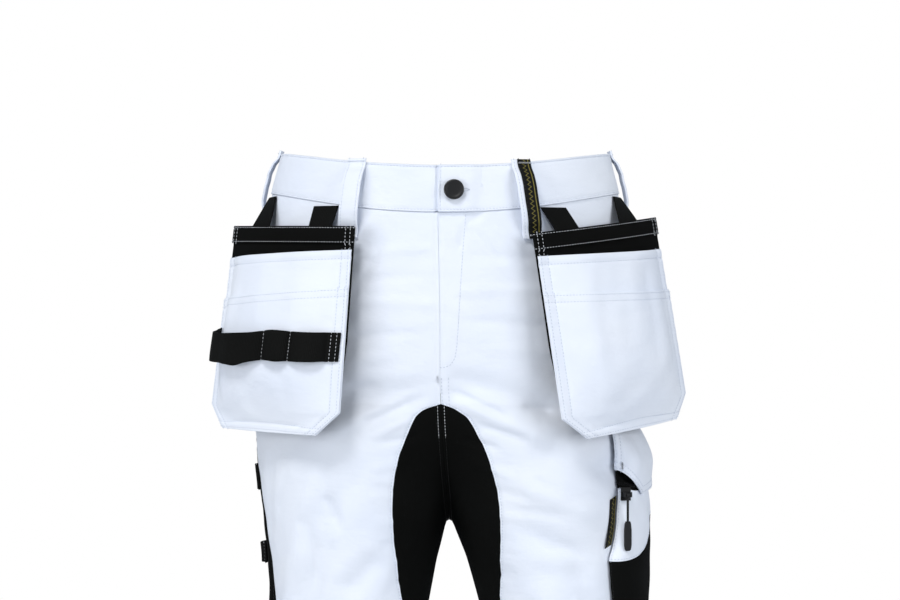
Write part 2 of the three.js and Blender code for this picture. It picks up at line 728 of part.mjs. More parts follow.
// The elastic tool band, which stands off the outer pocket between its stitched divisions.
function toolBand(holster) {
  const stations = [{ across: ELASTIC.start, rise: 0, sag: 0 }];
  for (const { end, standOff, sag } of ELASTIC_LOOPS) {
    const start = stations.at(-1).across;
    const count = standOff ? 6 : 1;
    for (let i = 1; i <= count; i++) {
      const arch = Math.sin((Math.PI * i) / count);
      stations.push({ across: mix(start, end, i / count), rise: standOff * arch ** 0.7, sag: sag * arch });
    }
  }
  const grid = [0, 0.5, 1].map((v) =>
    stations.map(({ across, rise, sag }) => {
      const down = ELASTIC.top + sag + v * ELASTIC.height;
      const { p, n } = pouchSurface(holster, across, down);
      return { p: p.addScaledVector(n, 2 * (POCKET_CLOTH + SEAM_GAP) + ELASTIC.room + rise), n };
    }),
  );
  return wall(grid, WEBBING);
}

const SEAT = POCKET_CLOTH + SEAM_GAP;

// The edges of the thigh pocket, smooth between the rows of their table.
function thighEdge(name, u) {
  const rows = THIGH_EDGES;
  const i = clamp(rows.findIndex((row) => row.u >= u), 1, rows.length - 1);
  const [a, b] = [rows[i - 1], rows[i]];
  return mix(a[name], b[name], (u - a.u) / (b.u - a.u));
}

const thighFront = (z) => columnAt(THIGH_FRONT, "angle", z);
const thighAngle = (u, z) => mix(thighFront(z), THIGH.back, u);

// The thigh pocket is sewn down at its sides and foot, and stands off in between.
function thighLift(u, z) {
  const side = quarter(Math.min(u, 1 - u) * 11);
  const foot = quarter((z - THIGH.bottom) / 24);
  const below = thighEdge("mouth", u) - z;
  const full = 0.9 + 0.1 * smooth(below / 36) - 0.2 * smooth(below / 30) * (1 - smooth(u / 0.3));
  return SEAT + THIGH.standOff * side * foot * full;
}

const THIGH_COLUMNS = table("u", [[0], [0.015], [0.045], [0.09], [0.16], [0.26], [0.38], [0.55], [0.75], [0.91], [0.97], [1]]);

function thighGrid(rows, pointAt) {
  return Array.from({ length: rows + 1 }, (_, j) => THIGH_COLUMNS.map(({ u }) => pointAt(u, j / rows)));
}

const onThigh = (u, z, lift) => dress(1, skinPoint(thighAngle(u, z), z), lift);

// The white upper part runs from the mouth to the dividing seam, the hard-wearing base from there down.
function thighPart(from, to, rows) {
  const grid = thighGrid(rows, (u, v) => {
    const z = mix(from(u), to(u), v);
    return onThigh(u, z, thighLift(u, z));
  });
  return wall(drawIn(grid, { start: false, end: false }), POCKET_CLOTH);
}

const thighUpper = () => thighPart((u) => thighEdge("mouth", u), (u) => thighEdge("split", u), 4);
const thighBase = () => thighPart((u) => thighEdge("split", u), () => THIGH.bottom, 7);

// The zip closes the pocket's mouth: it slopes from the leg out to the pocket's top edge.
function thighZip() {
  const grid = thighGrid(1, (u, v) => {
    const mouth = thighEdge("mouth", u);
    return onThigh(u, mouth + ZIP_HEIGHT * (1 - v), v ? thighLift(u, mouth) : SEAT + 0.4);
  });
  return wall(drawIn(grid, { start: false, end: false, top: false }), POCKET_CLOTH);
}

// The flap is sewn to the leg above the pocket and lies over the zip.
function thighFlap() {
  const grid = thighGrid(5, (u, v) => {
    const z = mix(FLAP.top, thighEdge("flap", u), v);
    const bulge = Math.sin(Math.min(1, v * 1.5) * (Math.PI / 2)) * (THIGH.standOff + FLAP.extra);
    const tuck = FLAP.extra * smooth((v - 0.6) * 2.5);
    const sewn = mix(FLAP.seat, FLAP.room, smooth(v * 5));
    const lift = SEAT + sewn + (bulge - tuck) * quarter(Math.min(u, 1 - u) * 11);
    return dress(1, skinPoint(thighAngle(u, z) + mix(FLAP.front, FLAP.back, u), z), lift);
  });
  return wall(grid, POCKET_CLOTH);
}

// The slider sits on the front end of the zip: a plate with two cheeks that hold a pin.
function sliderFrame() {
  const { u, below, room } = SLIDER;
  const z = thighEdge("mouth", u) - below;
  const at = (place) => onThigh(place, z, thighLift(place, z)).p;
  const up = new THREE.Vector3(0, 0, 1);
  const out = at(u + 0.04).sub(at(u - 0.03)).cross(up).normalize();
  const across = out.clone().cross(up);
  const seat = at(u).addScaledVector(out, room);
  return new THREE.Matrix4().makeBasis(across, out, up).setPosition(seat);
}

// Boxes and rods in the slider's frame: x along the pin, y out from the leg, z up.
const block = (x0, x1, y0, y1, z0, z1) =>
  new THREE.BoxGeometry(x1 - x0, y1 - y0, z1 - z0).translate((x0 + x1) / 2, (y0 + y1) / 2, (z0 + z1) / 2);
const pinRod = (radius, length) =>
  new THREE.CylinderGeometry(radius, radius, length, 16).rotateZ(Math.PI / 2).translate(0, PIN.out, 0);

function slider() {
  const { width, height, depth } = SLIDER;
  const { slot, cheek, radius, out } = PIN;
  const half = slot / 2;
  return combine([
    block(-width / 2, width / 2, 0, depth, -height * 0.45, height * 0.55),
    block(-half - cheek, -half, depth - 0.5, out + 1.8, -1.9, 2.6),
    block(half, half + cheek, depth - 0.5, out + 1.8, -1.9, 2.6),
    pinRod(radius, slot + cheek),
  ]);
}

// The pull hangs from the pin by its eye: a cord and a moulded grip.
function zipPull() {
  const { eye, play, eyeWidth, cord, cordRadius, grip, width, depth } = PULL;
  const y = PIN.out;
  const rod = new THREE.CylinderGeometry(cordRadius, cordRadius, cord + 1 - eye + 0.6, 10);
  rod.rotateX(Math.PI / 2).translate(0, y, -(cord + 1 + eye - 0.6) / 2);
  const outline = [
    [-0.3, 0],
    [0.3, 0],
    [0.42, -0.08],
    [0.5, -0.3],
    [0.5, -0.8],
    [0.4, -0.96],
    [0.22, -1],
    [-0.22, -1],
    [-0.4, -0.96],
    [-0.5, -0.8],
    [-0.5, -0.3],
    [-0.42, -0.08],
  ].map(([x, z]) => new THREE.Vector2(x * width, z * grip - cord));
  const bevel = { depth: depth - 2, bevelEnabled: true, bevelThickness: 1, bevelSize: 0.9, bevelOffset: -0.9 };
  const body = new THREE.ExtrudeGeometry(new THREE.Shape(outline), { ...bevel, bevelSegments: 1, steps: 1 });
  body.translate(0, 0, -(depth - 2) / 2).rotateX(Math.PI / 2).translate(0, y, 0);
  return combine([pinRod(eye, eyeWidth), rod, body], [pinRod(PIN.radius + play, eyeWidth + 2)]);
}

// The tag is caught in the thigh pocket's front seam and lies forward on the leg.
function sideTag() {
  const grid = gridOf(2, 2, (u, v) => {
    const z = TAG.top - v * TAG.height + 3 * u;
    const { front, back } = sectionAt(z);
    const perDegree = radians((front + back) / 2);
    const angle = thighFront(z) - (0.8 + (1 - u) * TAG.width) / perDegree;
    return dress(1, skinPoint(angle, z), TAG.cloth + SEAM_GAP);
  });
  return wall(grid, TAG.cloth);
}

const ruleAngle = (u, z) =>
  mix(mix(...RULE.front, smooth((RULE.top - z) / (RULE.top - RULE.bottom))), RULE.back, u);
const ruleLift = (u, z) =>
  SEAT + RULE.standOff * quarter(Math.min(u, 1 - u) * 6) * quarter((z - RULE.bottom) / 24);

function rulePocket() {
  const columns = [0, 0.04, 0.12, 0.22, 0.5, 0.78, 0.88, 0.96, 1];
  const grid = Array.from({ length: 9 }, (_, j) =>
    columns.map((u) => {
      const z = mix(RULE.top, RULE.bottom, j / 8);
      return dress(-1, skinPoint(ruleAngle(u, z), z), ruleLift(u, z));
    }),
  );
  return wall(grid, POCKET_CLOTH);
}

// A webbing loop over the rule pocket, sewn down at its two ends.
function ruleLoop({ z, height, standOff }) {
  const rise = [0, 0, 0.8, 1, 1, 1, 0.8, 0, 0];
  const grid = [0.5, -0.5].map((v) =>
    rise.map((r, i) => {
      const u = mix(RULE_LOOP.from, RULE_LOOP.to, i / (rise.length - 1));
      const high = z + v * height;
      const seat = ruleLift(u, high) + WEBBING + SEAM_GAP + RULE_LOOP.room;
      return dress(-1, skinPoint(ruleAngle(u, high), high), seat + standOff * r);
    }),
  );
  return wall(grid, WEBBING);
}

// One solid from several, less those cut away.
function combine(added, cut = []) {
  const solid = (geometry) => {
    const bare = geometry.clone().deleteAttribute("normal").deleteAttribute("uv");
    const merged = mergeVertices(bare, 1e-4);
    const vertProperties = new Float32Array(merged.attributes.position.array);
    return new wasm.Manifold(new wasm.Mesh({ numProp: 3, vertProperties, triVerts: new Uint32Array(merged.index.array) }));
  };
  let whole = solid(added[0]);
  for (const geometry of added.slice(1)) whole = whole.add(solid(geometry));
  for (const geometry of cut) whole = whole.subtract(solid(geometry));
  const mesh = whole.getMesh();
  const geometry = new THREE.BufferGeometry();
  geometry.setAttribute("position", new THREE.BufferAttribute(new Float32Array(mesh.vertProperties), 3));
  geometry.setIndex(new THREE.BufferAttribute(new Uint32Array(mesh.triVerts), 1));
  geometry.computeVertexNormals();
  return geometry;
}

function namedMesh(name, geometry, cloth) {
  const [color, roughness] = COLOURS[cloth];
  const mesh = new THREE.Mesh(geometry, new THREE.MeshStandardMaterial({ color, roughness, metalness: 0 }));
  mesh.name = name;
  return mesh;
}

function body(group) {
  for (const side of [1, -1]) {
    const name = legName(side);
    group.add(namedMesh(`front_${name}`, bodyPanel(side, false), "white"));
    group.add(namedMesh(`back_${name}`, bodyPanel(side, true), "white"));
    group.add(namedMesh(`gusset_${name}`, gusset(side), "stretch"));
    group.add(namedMesh(`waistband_${name}`, waistband(side), "white"));
  }
}

function fastenings(group) {
  for (const loop of LOOPS) group.add(namedMesh(loop.name, beltLoop(loop), "white"));
  group.add(namedMesh("loop_tape", loopTape(), "tape"));
  const mesh = namedMesh("waist_button", button(), "button");
  const lift = CLOSING.lapProud + SEAM_GAP;
  const seat = dress(1, skinPoint(angleAcross(BUTTON.across, BUTTON.z, false), BUTTON.z), lift);
  mesh.position.copy(seat.p);
  mesh.quaternion.setFromUnitVectors(new THREE.Vector3(0, 1, 0), seat.n);
  group.add(mesh);
}

function holsters(group) {
  for (const [name, holster] of Object.entries(HOLSTERS)) {
    group.add(namedMesh(`holster_back_${name}`, holsterBack(holster), "cordura"));
    group.add(namedMesh(`holster_binding_${name}`, holsterBinding(holster), "cordura"));
    group.add(namedMesh(`holster_pouch_${name}`, holsterPouch(holster), "white"));
    group.add(namedMesh(`holster_outer_pocket_${name}`, holsterOuterPocket(holster), "white"));
    STRAP.at.forEach((_, k) => {
      const place = k ? "outer" : "inner";
      group.add(namedMesh(`holster_strap_${place}_${name}`, holsterStrap(holster, k), "webbing"));
    });
  }
  group.add(namedMesh("tool_band_right", toolBand(HOLSTERS.right), "webbing"));
}

function legPockets(group) {
  group.add(namedMesh("thigh_pocket_left", thighUpper(), "white"));
  group.add(namedMesh("thigh_pocket_base_left", thighBase(), "cordura"));
  group.add(namedMesh("thigh_zip", thighZip(), "zip"));
  group.add(namedMesh("thigh_flap_left", thighFlap(), "white"));
  group.add(namedMesh("side_tag", sideTag(), "tape"));
  const frame = sliderFrame();
  group.add(namedMesh("zip_slider", slider().applyMatrix4(frame), "zip"));
  group.add(namedMesh("zip_pull", zipPull().applyMatrix4(frame), "zip"));
  group.add(namedMesh("rule_pocket_right", rulePocket(), "cordura"));
  for (const loop of RULE_LOOPS) group.add(namedMesh(loop.name, ruleLoop(loop), "webbing"));
}

const trousers = new THREE.Group();
body(trousers);
fastenings(trousers);
holsters(trousers);
legPockets(trousers);

export default trousers;
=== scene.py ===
"""Carpenter trousers with hanging holster pockets: fine cloth, sewing, materials and stage.

Sizes are in millimetres until a mesh is made, +Z up, front towards -Y, the wearer's left at +X.
Points are numpy arrays whose last axis is x, y, z; a grid's first axis runs down, its second across.
"""
import math

import bmesh
import bpy
import numpy as np
from bpy.props import FloatProperty, FloatVectorProperty, PointerProperty
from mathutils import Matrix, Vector


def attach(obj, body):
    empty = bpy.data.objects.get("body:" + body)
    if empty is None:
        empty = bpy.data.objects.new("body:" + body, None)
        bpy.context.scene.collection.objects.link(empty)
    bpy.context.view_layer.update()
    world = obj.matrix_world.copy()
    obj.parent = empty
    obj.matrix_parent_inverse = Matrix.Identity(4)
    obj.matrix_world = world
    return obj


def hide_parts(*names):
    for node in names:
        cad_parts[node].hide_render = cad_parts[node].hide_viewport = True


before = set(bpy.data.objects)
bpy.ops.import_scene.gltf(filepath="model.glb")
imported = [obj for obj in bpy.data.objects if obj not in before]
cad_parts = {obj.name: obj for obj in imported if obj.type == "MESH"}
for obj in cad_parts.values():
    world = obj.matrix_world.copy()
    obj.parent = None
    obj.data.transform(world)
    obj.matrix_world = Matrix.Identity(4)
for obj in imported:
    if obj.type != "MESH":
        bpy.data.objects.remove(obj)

bl_info = {
    "name": "Carpenter Trousers",
    "version": (1, 0, 0),
    "blender": (4, 5, 0),
    "location": "3D View > Sidebar > Garment",
    "description": "Fine cloth, sewing, materials and stage of a pair of carpenter trousers",
    "category": "Object",
}

MM = 0.001


def table(columns, rows):
    names = columns.split()
    return [dict(zip(names, row)) for row in rows]


# Form of the garment

BODY_CLOTH = 1.8
BAND_CLOTH = 3.0
POCKET_CLOTH = 1.6
WEBBING = 1.6
SEAM_GAP = 0.3
LAYER = POCKET_CLOTH + SEAM_GAP

SECTIONS = table(
    "z side inner front back pole round sway",
    [
        (45, 153, -150, 109, 111, 60, 2.1, 0),
        (-12, 166, -110, 114, 118, 64, 2.15, -1),
        (-110, 176, -70, 118, 134, 74, 2.25, -2.5),
        (-190, 178, -42, 115, 138, 82, 2.3, -4.5),
        (-250, 177, -20, 109, 132, 86, 2.3, -1.5),
        (-301, 174, 0, 104, 122, 87, 2.3, 2.5),
        (-387, 168.5, 24, 97, 110, 97, 2.25, 7.5),
        (-560, 172, 48, 84, 92, 110, 2.2, 9),
        (-780, 178, 63, 76, 92, 120, 2.2, 8),
        (-1032, 184, 72, 70, 86, 128, 2.2, 6),
    ],
)
FORK_START, FORK_END, FORK_BLEND = -120, -290, 10
HEM = -1030
WAIST = {"front": (-21, 22), "side": (0, 38), "back": (-10, 31)}
CLOSING = {"top": -6, "lap": 22, "proud": 1.2, "lap_proud": 3.4, "step": 4}

GUSSET = table(
    "z right left",
    [
        (-194, 0, 0),
        (-197, 10, 9),
        (-200, 17, 15),
        (-207, 24, 24),
        (-226, 33, 33.5),
        (-241, 40, 39.5),
        (-262, 46, 44.5),
        (-290, 50, 47),
        (-318, 50.5, 46),
        (-373, 48, 43),
        (-420, 46.5, 44),
        (-470, 46.5, 45.5),
        (-510, 47, 46.5),
        (-548, 47, 47),
    ],
)
GUSSET_TOP, GUSSET_TIP = GUSSET[0]["z"], GUSSET[-1]["z"]
TIP_ANGLE, TIP_ROOM = 1.5, 1.2

# Ridges (plus) and troughs (minus) along a line on one leg: the large ones of the solids, then the fine ones
CREASES = table(
    "leg angle1 z1 angle2 z2 width depth",
    [
        (1, -34, -168, 20, -205, 11, -3.2),
        (1, -30, -187, 8, -232, 9, 2.8),
        (1, -5, -236, 44, -262, 12, -3.4),
        (1, -12, -262, 30, -300, 11, 2.6),
        (1, -18, -306, 26, -338, 12, -2.8),
        (1, 8, -330, 26, -412, 11, -3.2),
        (1, -8, -350, 4, -470, 13, 2.6),
        (-1, -32, -176, 14, -198, 10, -2.6),
        (-1, -24, -196, 14, -222, 9, 2.4),
        (-1, 6, -262, 30, -400, 12, -3.4),
        (-1, 26, -300, 50, -470, 13, 3.0),
        (-1, -14, -330, 2, -372, 10, -2.4),
        (1, -40, -500, 70, -548, 17, -4.2),
        (1, -50, -548, 60, -590, 16, 3.4),
        (-1, -40, -520, 66, -556, 17, -4.2),
        (-1, -46, -560, 50, -604, 16, 3.2),
        (1, 152, -262, 206, -318, 16, -4.2),
        (-1, 166, -262, 214, -316, 16, -4.2),
        (1, 156, -320, 214, -352, 15, 3.4),
        (-1, 168, -322, 216, -358, 15, 3.4),
        (1, 110, -522, 238, -560, 18, -4.6),
        (-1, 112, -510, 236, -552, 18, -4.6),
        (1, -60, -922, 70, -956, 16, -4.4),
        (-1, -64, -930, 66, -962, 16, -4.4),
        (1, 118, -900, 236, -948, 17, 4.0),
        (-1, 116, -908, 238, -944, 17, 4.0),
        (1, 40, -968, 150, -990, 14, -3.4),
        (-1, 44, -976, 152, -996, 14, -3.4),
    ],
)
FINE_CREASES = table(
    "leg angle1 z1 angle2 z2 width depth",
    [
        # Belly and hips: faint tension lines across
        (1, -26, -60, 26, -64, 4.5, -0.7),
        (1, -34, -92, 22, -88, 5.5, 0.8),
        (1, -30, -118, 30, -126, 5, -0.8),
        (1, -16, -142, 36, -150, 6, 0.8),
        (1, -22, -30, -6, -72, 4, -1.0),
        (1, -12, -30, 2, -58, 4, 0.9),
        (1, 10, -40, 22, -120, 7, -1.0),
        (-1, -34, -52, 20, -60, 4.5, 0.7),
        (-1, -30, -78, 26, -84, 5, -0.8),
        (-1, -36, -104, 18, -100, 5.5, 0.8),
        (-1, -30, -128, 26, -138, 5, -0.9),
        (-1, -18, -150, 34, -160, 6, 0.8),
        (-1, -8, -44, 4, -96, 5, -0.8),
        (1, -14, -20, -22, -33, 3.5, -1.0),
        (1, -22, -33, -24, -56, 3.5, -1.0),
        # Pulls that fan out from the top of the gusset
        (1, -33, -180, -8, -209, 4.5, -3.0),
        (1, -5, -197, 10, -201, 4.5, -1.5),
        (1, -24, -212, -2, -228, 4, -1.3),
        (-1, -30, -187, -4, -214, 5, -2.8),
        (-1, -14, -176, 12, -184, 5, -1.2),
        (-1, -26, -206, -8, -226, 4, 1.2),
        (-1, -2, -186, 18, -192, 4.5, -1.2),
        # Beside the gusset: short pulls at right angles to its edge
        (1, -31, -226, -14, -236, 3.2, -1.2),
        (1, -30, -246, -10, -262, 3.5, 1.1),
        (1, -27, -270, -4, -280, 3.8, -1.1),
        (1, -28, -292, -8, -300, 3.4, 0.9),
        (1, -30, -316, -14, -318, 3, -1.0),
        (1, -32, -334, -16, -340, 3, 0.9),
        (1, -33, -352, -18, -352, 3.2, -1.0),
        (1, -35, -372, -16, -380, 3.4, 1.0),
        (-1, -30, -222, -12, -230, 3.2, -1.1),
        (-1, -26, -248, -8, -252, 3.4, 1.0),
        (-1, -22, -272, -6, -270, 3.2, -0.9),
        (-1, -24, -300, -10, -304, 3, 0.9),
        (-1, -27, -318, -12, -326, 3, -1.1),
        (-1, -29, -334, -16, -346, 3.2, 1.0),
        (-1, -31, -352, -18, -366, 3, -1.0),
        (-1, -34, -372, -20, -384, 3.4, 1.0),
        # Thighs: soft slanting pulls
        (1, -5, -262, 9, -274, 4.5, -1.5),
        (1, -18, -289, 13, -298, 4.5, -1.4),
        (1, -8, -318, 16, -330, 5, -1.3),
        (-1, 24, -294, 17, -374, 6, -2.0),
        (-1, 13, -276, 5, -310, 5, -1.6),
        (-1, 2, -268, 10, -330, 5, 1.3),
        (-1, 30, -258, 44, -300, 5, -1.2),
        (1, 0, -212, 34, -226, 8, 1.2),
        (1, 6, -276, 36, -284, 6, -1.0),
        (1, -14, -344, 24, -356, 8, -1.2),
        (1, 14, -372, 30, -446, 7, 1.4),
        (-1, 12, -236, 34, -330, 7, 1.2),
        (-1, -4, -252, 12, -318, 8, -1.1),
        (-1, 40, -230, 62, -330, 9, -1.6),
        (-1, 2, -372, 22, -460, 8, -1.3),
        (-1, -10, -392, 2, -450, 6, 1.0),
        # Knees and shins
        (1, -34, -610, 60, -640, 13, -1.8),
        (1, -20, -470, 50, -496, 9, 1.4),
        (1, -40, -690, 44, -712, 15, 1.4),
        (1, 20, -640, 66, -800, 14, -1.5),
        (1, -46, -880, 50, -898, 12, 1.6),
        (1, -30, -992, 60, -1004, 9, 1.4),
        (-1, -30, -616, 64, -650, 13, -1.8),
        (-1, -24, -478, 44, -500, 9, 1.4),
        (-1, -40, -700, 40, -730, 15, 1.4),
        (-1, 24, -650, 70, -810, 14, -1.5),
        (-1, -48, -890, 46, -904, 12, 1.6),
        (-1, -34, -996, 56, -1010, 9, 1.4),
        # Seat and backs of the legs
        (1, 150, -60, 196, -84, 9, -1.1),
        (1, 120, -120, 168, -150, 12, 1.3),
        (1, 178, -226, 214, -262, 9, -2.0),
        (1, 168, -356, 220, -392, 11, -1.8),
        (1, 150, -410, 214, -424, 12, 1.4),
        (1, 130, -590, 220, -626, 14, 1.8),
        (1, 140, -690, 210, -780, 16, -1.5),
        (1, 130, -860, 226, -884, 13, -1.8),
        (-1, 152, -52, 198, -72, 9, -1.1),
        (-1, 122, -112, 172, -146, 12, 1.3),
        (-1, 176, -222, 212, -256, 9, -2.0),
        (-1, 166, -360, 218, -402, 11, -1.8),
        (-1, 148, -420, 212, -436, 12, 1.4),
        (-1, 128, -584, 222, -616, 14, 1.8),
        (-1, 142, -700, 212, -790, 16, -1.5),
        (-1, 128, -866, 224, -892, 13, -1.8),
    ],
)

HOLSTER = {
    "top_half": 78,
    "bottom_half": 85,
    "height": 188,
    "chamfer_across": 25,
    "chamfer_down": 22,
    "mouth": (20, 29),
    "outer_pocket": (54, 68),
    "border": 9,
    "inset": 1,
    "binding": 15,
    "plan_radius": 330,
    "hidden": 2.4,
}
HOLSTERS = {
    "left": {
        "side": 1, "x": 143, "y": -79, "z": -32, "yaw": 39, "roll": 6.5, "pitch": 7,
        "mouth_gap": 14, "belly": 17, "strap_angle": (19, 73),
    },
    "right": {
        "side": -1, "x": 146, "y": -79, "z": -33, "yaw": 41, "roll": 1.2, "pitch": 7,
        "mouth_gap": 16, "belly": 22, "strap_angle": (25, 74),
    },
}
STRAP = {"width": 26, "at": (-38, 40), "tuck": 13, "room": 0.6}

# Soft folds of the pouches: from across and down to across and down
POUCH_FOLDS = table(
    "side across1 down1 across2 down2 width depth",
    [
        (1, -22, 22, -34, 150, 9, -1.6),
        (1, 12, 24, 4, 120, 10, 1.8),
        (1, 34, 30, 24, 140, 8, -1.8),
        (1, -52, 60, -30, 170, 12, 1.4),
        (1, 56, 60, 60, 150, 9, -1.2),
        (1, -40, 176, 20, 150, 9, 1.6),
        (1, 20, 160, 56, 130, 10, -1.3),
        (-1, -20, 24, -26, 92, 8, -1.5),
        (-1, 8, 22, 0, 96, 9, 1.8),
        (-1, 30, 26, 36, 150, 10, -2.2),
        (-1, -30, 118, -34, 170, 7, -1.6),
        (-1, 14, 120, 10, 172, 8, -1.8),
        (-1, 48, 60, 52, 172, 9, 1.6),
        (-1, 66, 70, 60, 168, 7, -1.6),
        (-1, -60, 40, -56, 150, 8, 1.0),
    ],
)

ELASTIC = {"start": -78, "top": 95, "height": 26, "room": 0.4, "end_rows": (3.0, 8.5)}
ELASTIC_LOOPS = table(
    "end stand_off sag",
    [(-65, 0, 0), (-38, 7, 1), (-12, 5.5, 0), (76, 9, 5)],
)

LOOPS = table(
    "name side angle lean stand_off over",
    [
        ("belt_loop_front_right", -1, 10.5, 0, 7.2, 2),
        ("belt_loop_front_left", 1, 3.5, 6, 7.2, 2),
        ("belt_loop_side_right", -1, 95, 0, 6.2, 3),
        ("belt_loop_side_left", 1, 95, 0, 6.2, 3),
        ("belt_loop_back", 1, None, 0, 6, 0),
    ],
)
LOOP = {"width": 18, "below": 28, "cloth": 1.8}
LOOP_TAPE = {"on": "belt_loop_front_left", "width": 12.5, "offset": 2.4, "cloth": 1}
LOOP_BOW = ((0, 0), (0.1, 0), (0.2, 0.7), (0.34, 1), (0.5, 1), (0.66, 1), (0.8, 0.7), (0.9, 0), (1, 0))
BUTTON = {"across": 8, "z": -1, "radius": 9.2, "thick": 4.2}

THIGH = {"back": 128, "bottom": -446, "stand_off": 15}
THIGH_FRONT = table("z angle", [(-210, 41), (-273, 41), (-300, 38.5), (-325, 34), (-339, 30), (-446, 31)])
THIGH_EDGES = table(
    "u flap mouth split",
    [
        (0, -256, -273, -339),
        (0.06, -269, -275, -338),
        (0.13, -279, -275, -336),
        (0.26, -276, -269, -327),
        (0.38, -274, -267, -303),
        (0.55, -274, -265, -299),
        (1, -274, -264, -296),
    ],
)
FLAP = {"top": -212, "front": -2, "back": 2, "extra": 1.4, "seat": 0.35, "room": 2.4}
ZIP_HEIGHT = 20
TAG = {"width": 9, "top": -283, "height": 44, "cloth": 1}
RULE = {"front": (111, 92), "back": 150, "top": -232, "bottom": -478, "stand_off": 7.5}
RULE_LOOPS = table(
    "name z height stand_off",
    [("rule_loop_upper", -271.5, 24, 7.5), ("rule_loop_lower", -343, 19, 8.5)],
)
RULE_LOOP = {"from": 0.12, "to": 0.88, "room": 0.5}


# Small helpers

def mix(a, b, t):
    return a + (b - a) * t


def smooth(t):
    t = np.clip(t, 0, 1)
    return t * t * (3 - 2 * t)


def quarter(t):
    return np.sqrt(1 - (1 - np.clip(t, 0, 1)) ** 2)


def unit(v):
    return v / np.maximum(np.linalg.norm(v, axis=-1, keepdims=True), 1e-9)


def point(x, y, z):
    return np.stack(np.broadcast_arrays(np.asarray(x, float), y, z), axis=-1)


def ridge(place, run, width):
    """A soft ridge of height 1 along a run from the origin, lower towards its two ends."""
    t = np.clip((place[0] * run[0] + place[1] * run[1]) / (run[0] ** 2 + run[1] ** 2), 0, 1)
    away = np.hypot(place[0] - t * run[0], place[1] - t * run[1]) / width
    return smooth(np.minimum(t, 1 - t) * 3.2 + 0.15) * np.exp(-away * away)


def column(rows, name):
    return np.array([row[name] for row in rows], float)


def curve_at(rows, name, z):
    """A smooth curve through one column of a table whose z falls from row to row."""
    heights, values = column(rows, "z"), column(rows, name)
    before = np.maximum(np.arange(len(rows)) - 1, 0)
    after = np.minimum(np.arange(len(rows)) + 1, len(rows) - 1)
    slopes = (values[after] - values[before]) / (heights[after] - heights[before])
    i = np.clip(np.searchsorted(-heights, -np.asarray(z, float)), 1, len(rows) - 1)
    span = heights[i] - heights[i - 1]
    t = np.clip((z - heights[i - 1]) / span, 0, 1)
    t2, t3 = t * t, t * t * t
    ends = (2 * t3 - 3 * t2 + 1) * values[i - 1] + (3 * t2 - 2 * t3) * values[i]
    return ends + (t3 - 2 * t2 + t) * span * slopes[i - 1] + (t3 - t2) * span * slopes[i]


HEIGHTS = np.arange(70.0, -1050.0, -1.0)
SECTION = {name: curve_at(SECTIONS, name, HEIGHTS) for name in SECTIONS[0] if name != "z"}


def section(name, z):
    return np.interp(-np.asarray(z, float), -HEIGHTS, SECTION[name])


# The body's skin

def skin(p):
    """Below nought inside the trousers, above nought outside, and nought on the cloth."""
    x, y, z = p[..., 0], p[..., 1], p[..., 2]
    side, inner, front, back, power = (
        section(name, z) for name in ("side", "inner", "front", "back", "round")
    )
    deep = np.abs((2 * y - back + front) / (back + front)) ** power

    def oval(across, half):
        return ((np.abs(across / half) ** power + deep) ** (1 / power) - 1) * half

    torso = oval(x, side) * ((back + front) / 2 / side)
    middle, half = (side + inner) / 2, (side - inner) / 2
    one, other = oval(x - middle, half), oval(x + middle, half)
    overlap = np.maximum(FORK_BLEND - np.abs(one - other), 0)
    legs = np.minimum(one, other) - overlap**2 / (4 * FORK_BLEND)
    return mix(torso, legs, smooth((FORK_START - z) / (FORK_START - FORK_END)))


def skin_normal(p):
    e = 0.5
    slope = [skin(p + e * axis) - skin(p - e * axis) for axis in np.eye(3)]
    return unit(np.stack(slope, axis=-1))


def leave(start, way):
    """Where rays from inside the body leave it."""
    way = unit(way)
    start = np.broadcast_to(start, way.shape)
    step = 6.0
    far = np.full(way.shape[:-1], step)
    inside = np.ones(far.shape, bool)
    while inside.any() and far.max() < 400:
        inside[inside] = skin(start[inside] + far[inside][..., None] * way[inside]) < 0
        far[inside] += step
    near = far - step
    for _ in range(14):
        half = (near + far) / 2
        within = skin(start + half[..., None] * way) < 0
        near, far = np.where(within, half, near), np.where(within, far, half)
    return start + near[..., None] * way


def pole_at(z):
    return point(section("pole", z), (section("back", z) - section("front", z)) / 2, z)


def skin_point(angle, z):
    """Points of the skin by their angle round the pole, on the leg at +X."""
    angle, z = np.broadcast_arrays(np.radians(np.asarray(angle, float)), np.asarray(z, float))
    return leave(pole_at(z), point(np.sin(angle), -np.cos(angle), 0))


def angle_of(p):
    pole = pole_at(p[..., 2])
    angle = np.degrees(np.arctan2(p[..., 0] - pole[..., 0], pole[..., 1] - p[..., 1]))
    return np.where(angle < -90.01, angle + 360, angle)


def angle_across(across, z, back):
    """The angle, on the front or back of the leg, at which the skin lies a distance from the middle."""
    across, z = np.broadcast_arrays(np.asarray(across, float), np.asarray(z, float))
    low, high = np.full(z.shape, -90.0), np.zeros(z.shape)
    for _ in range(18):
        half = (low + high) / 2
        short = skin_point(180 - half if back else half, z)[..., 0] < across
        low, high = np.where(short, half, low), np.where(short, high, half)
    return 180 - low if back else low


CREASE_STRENGTH = 1.4


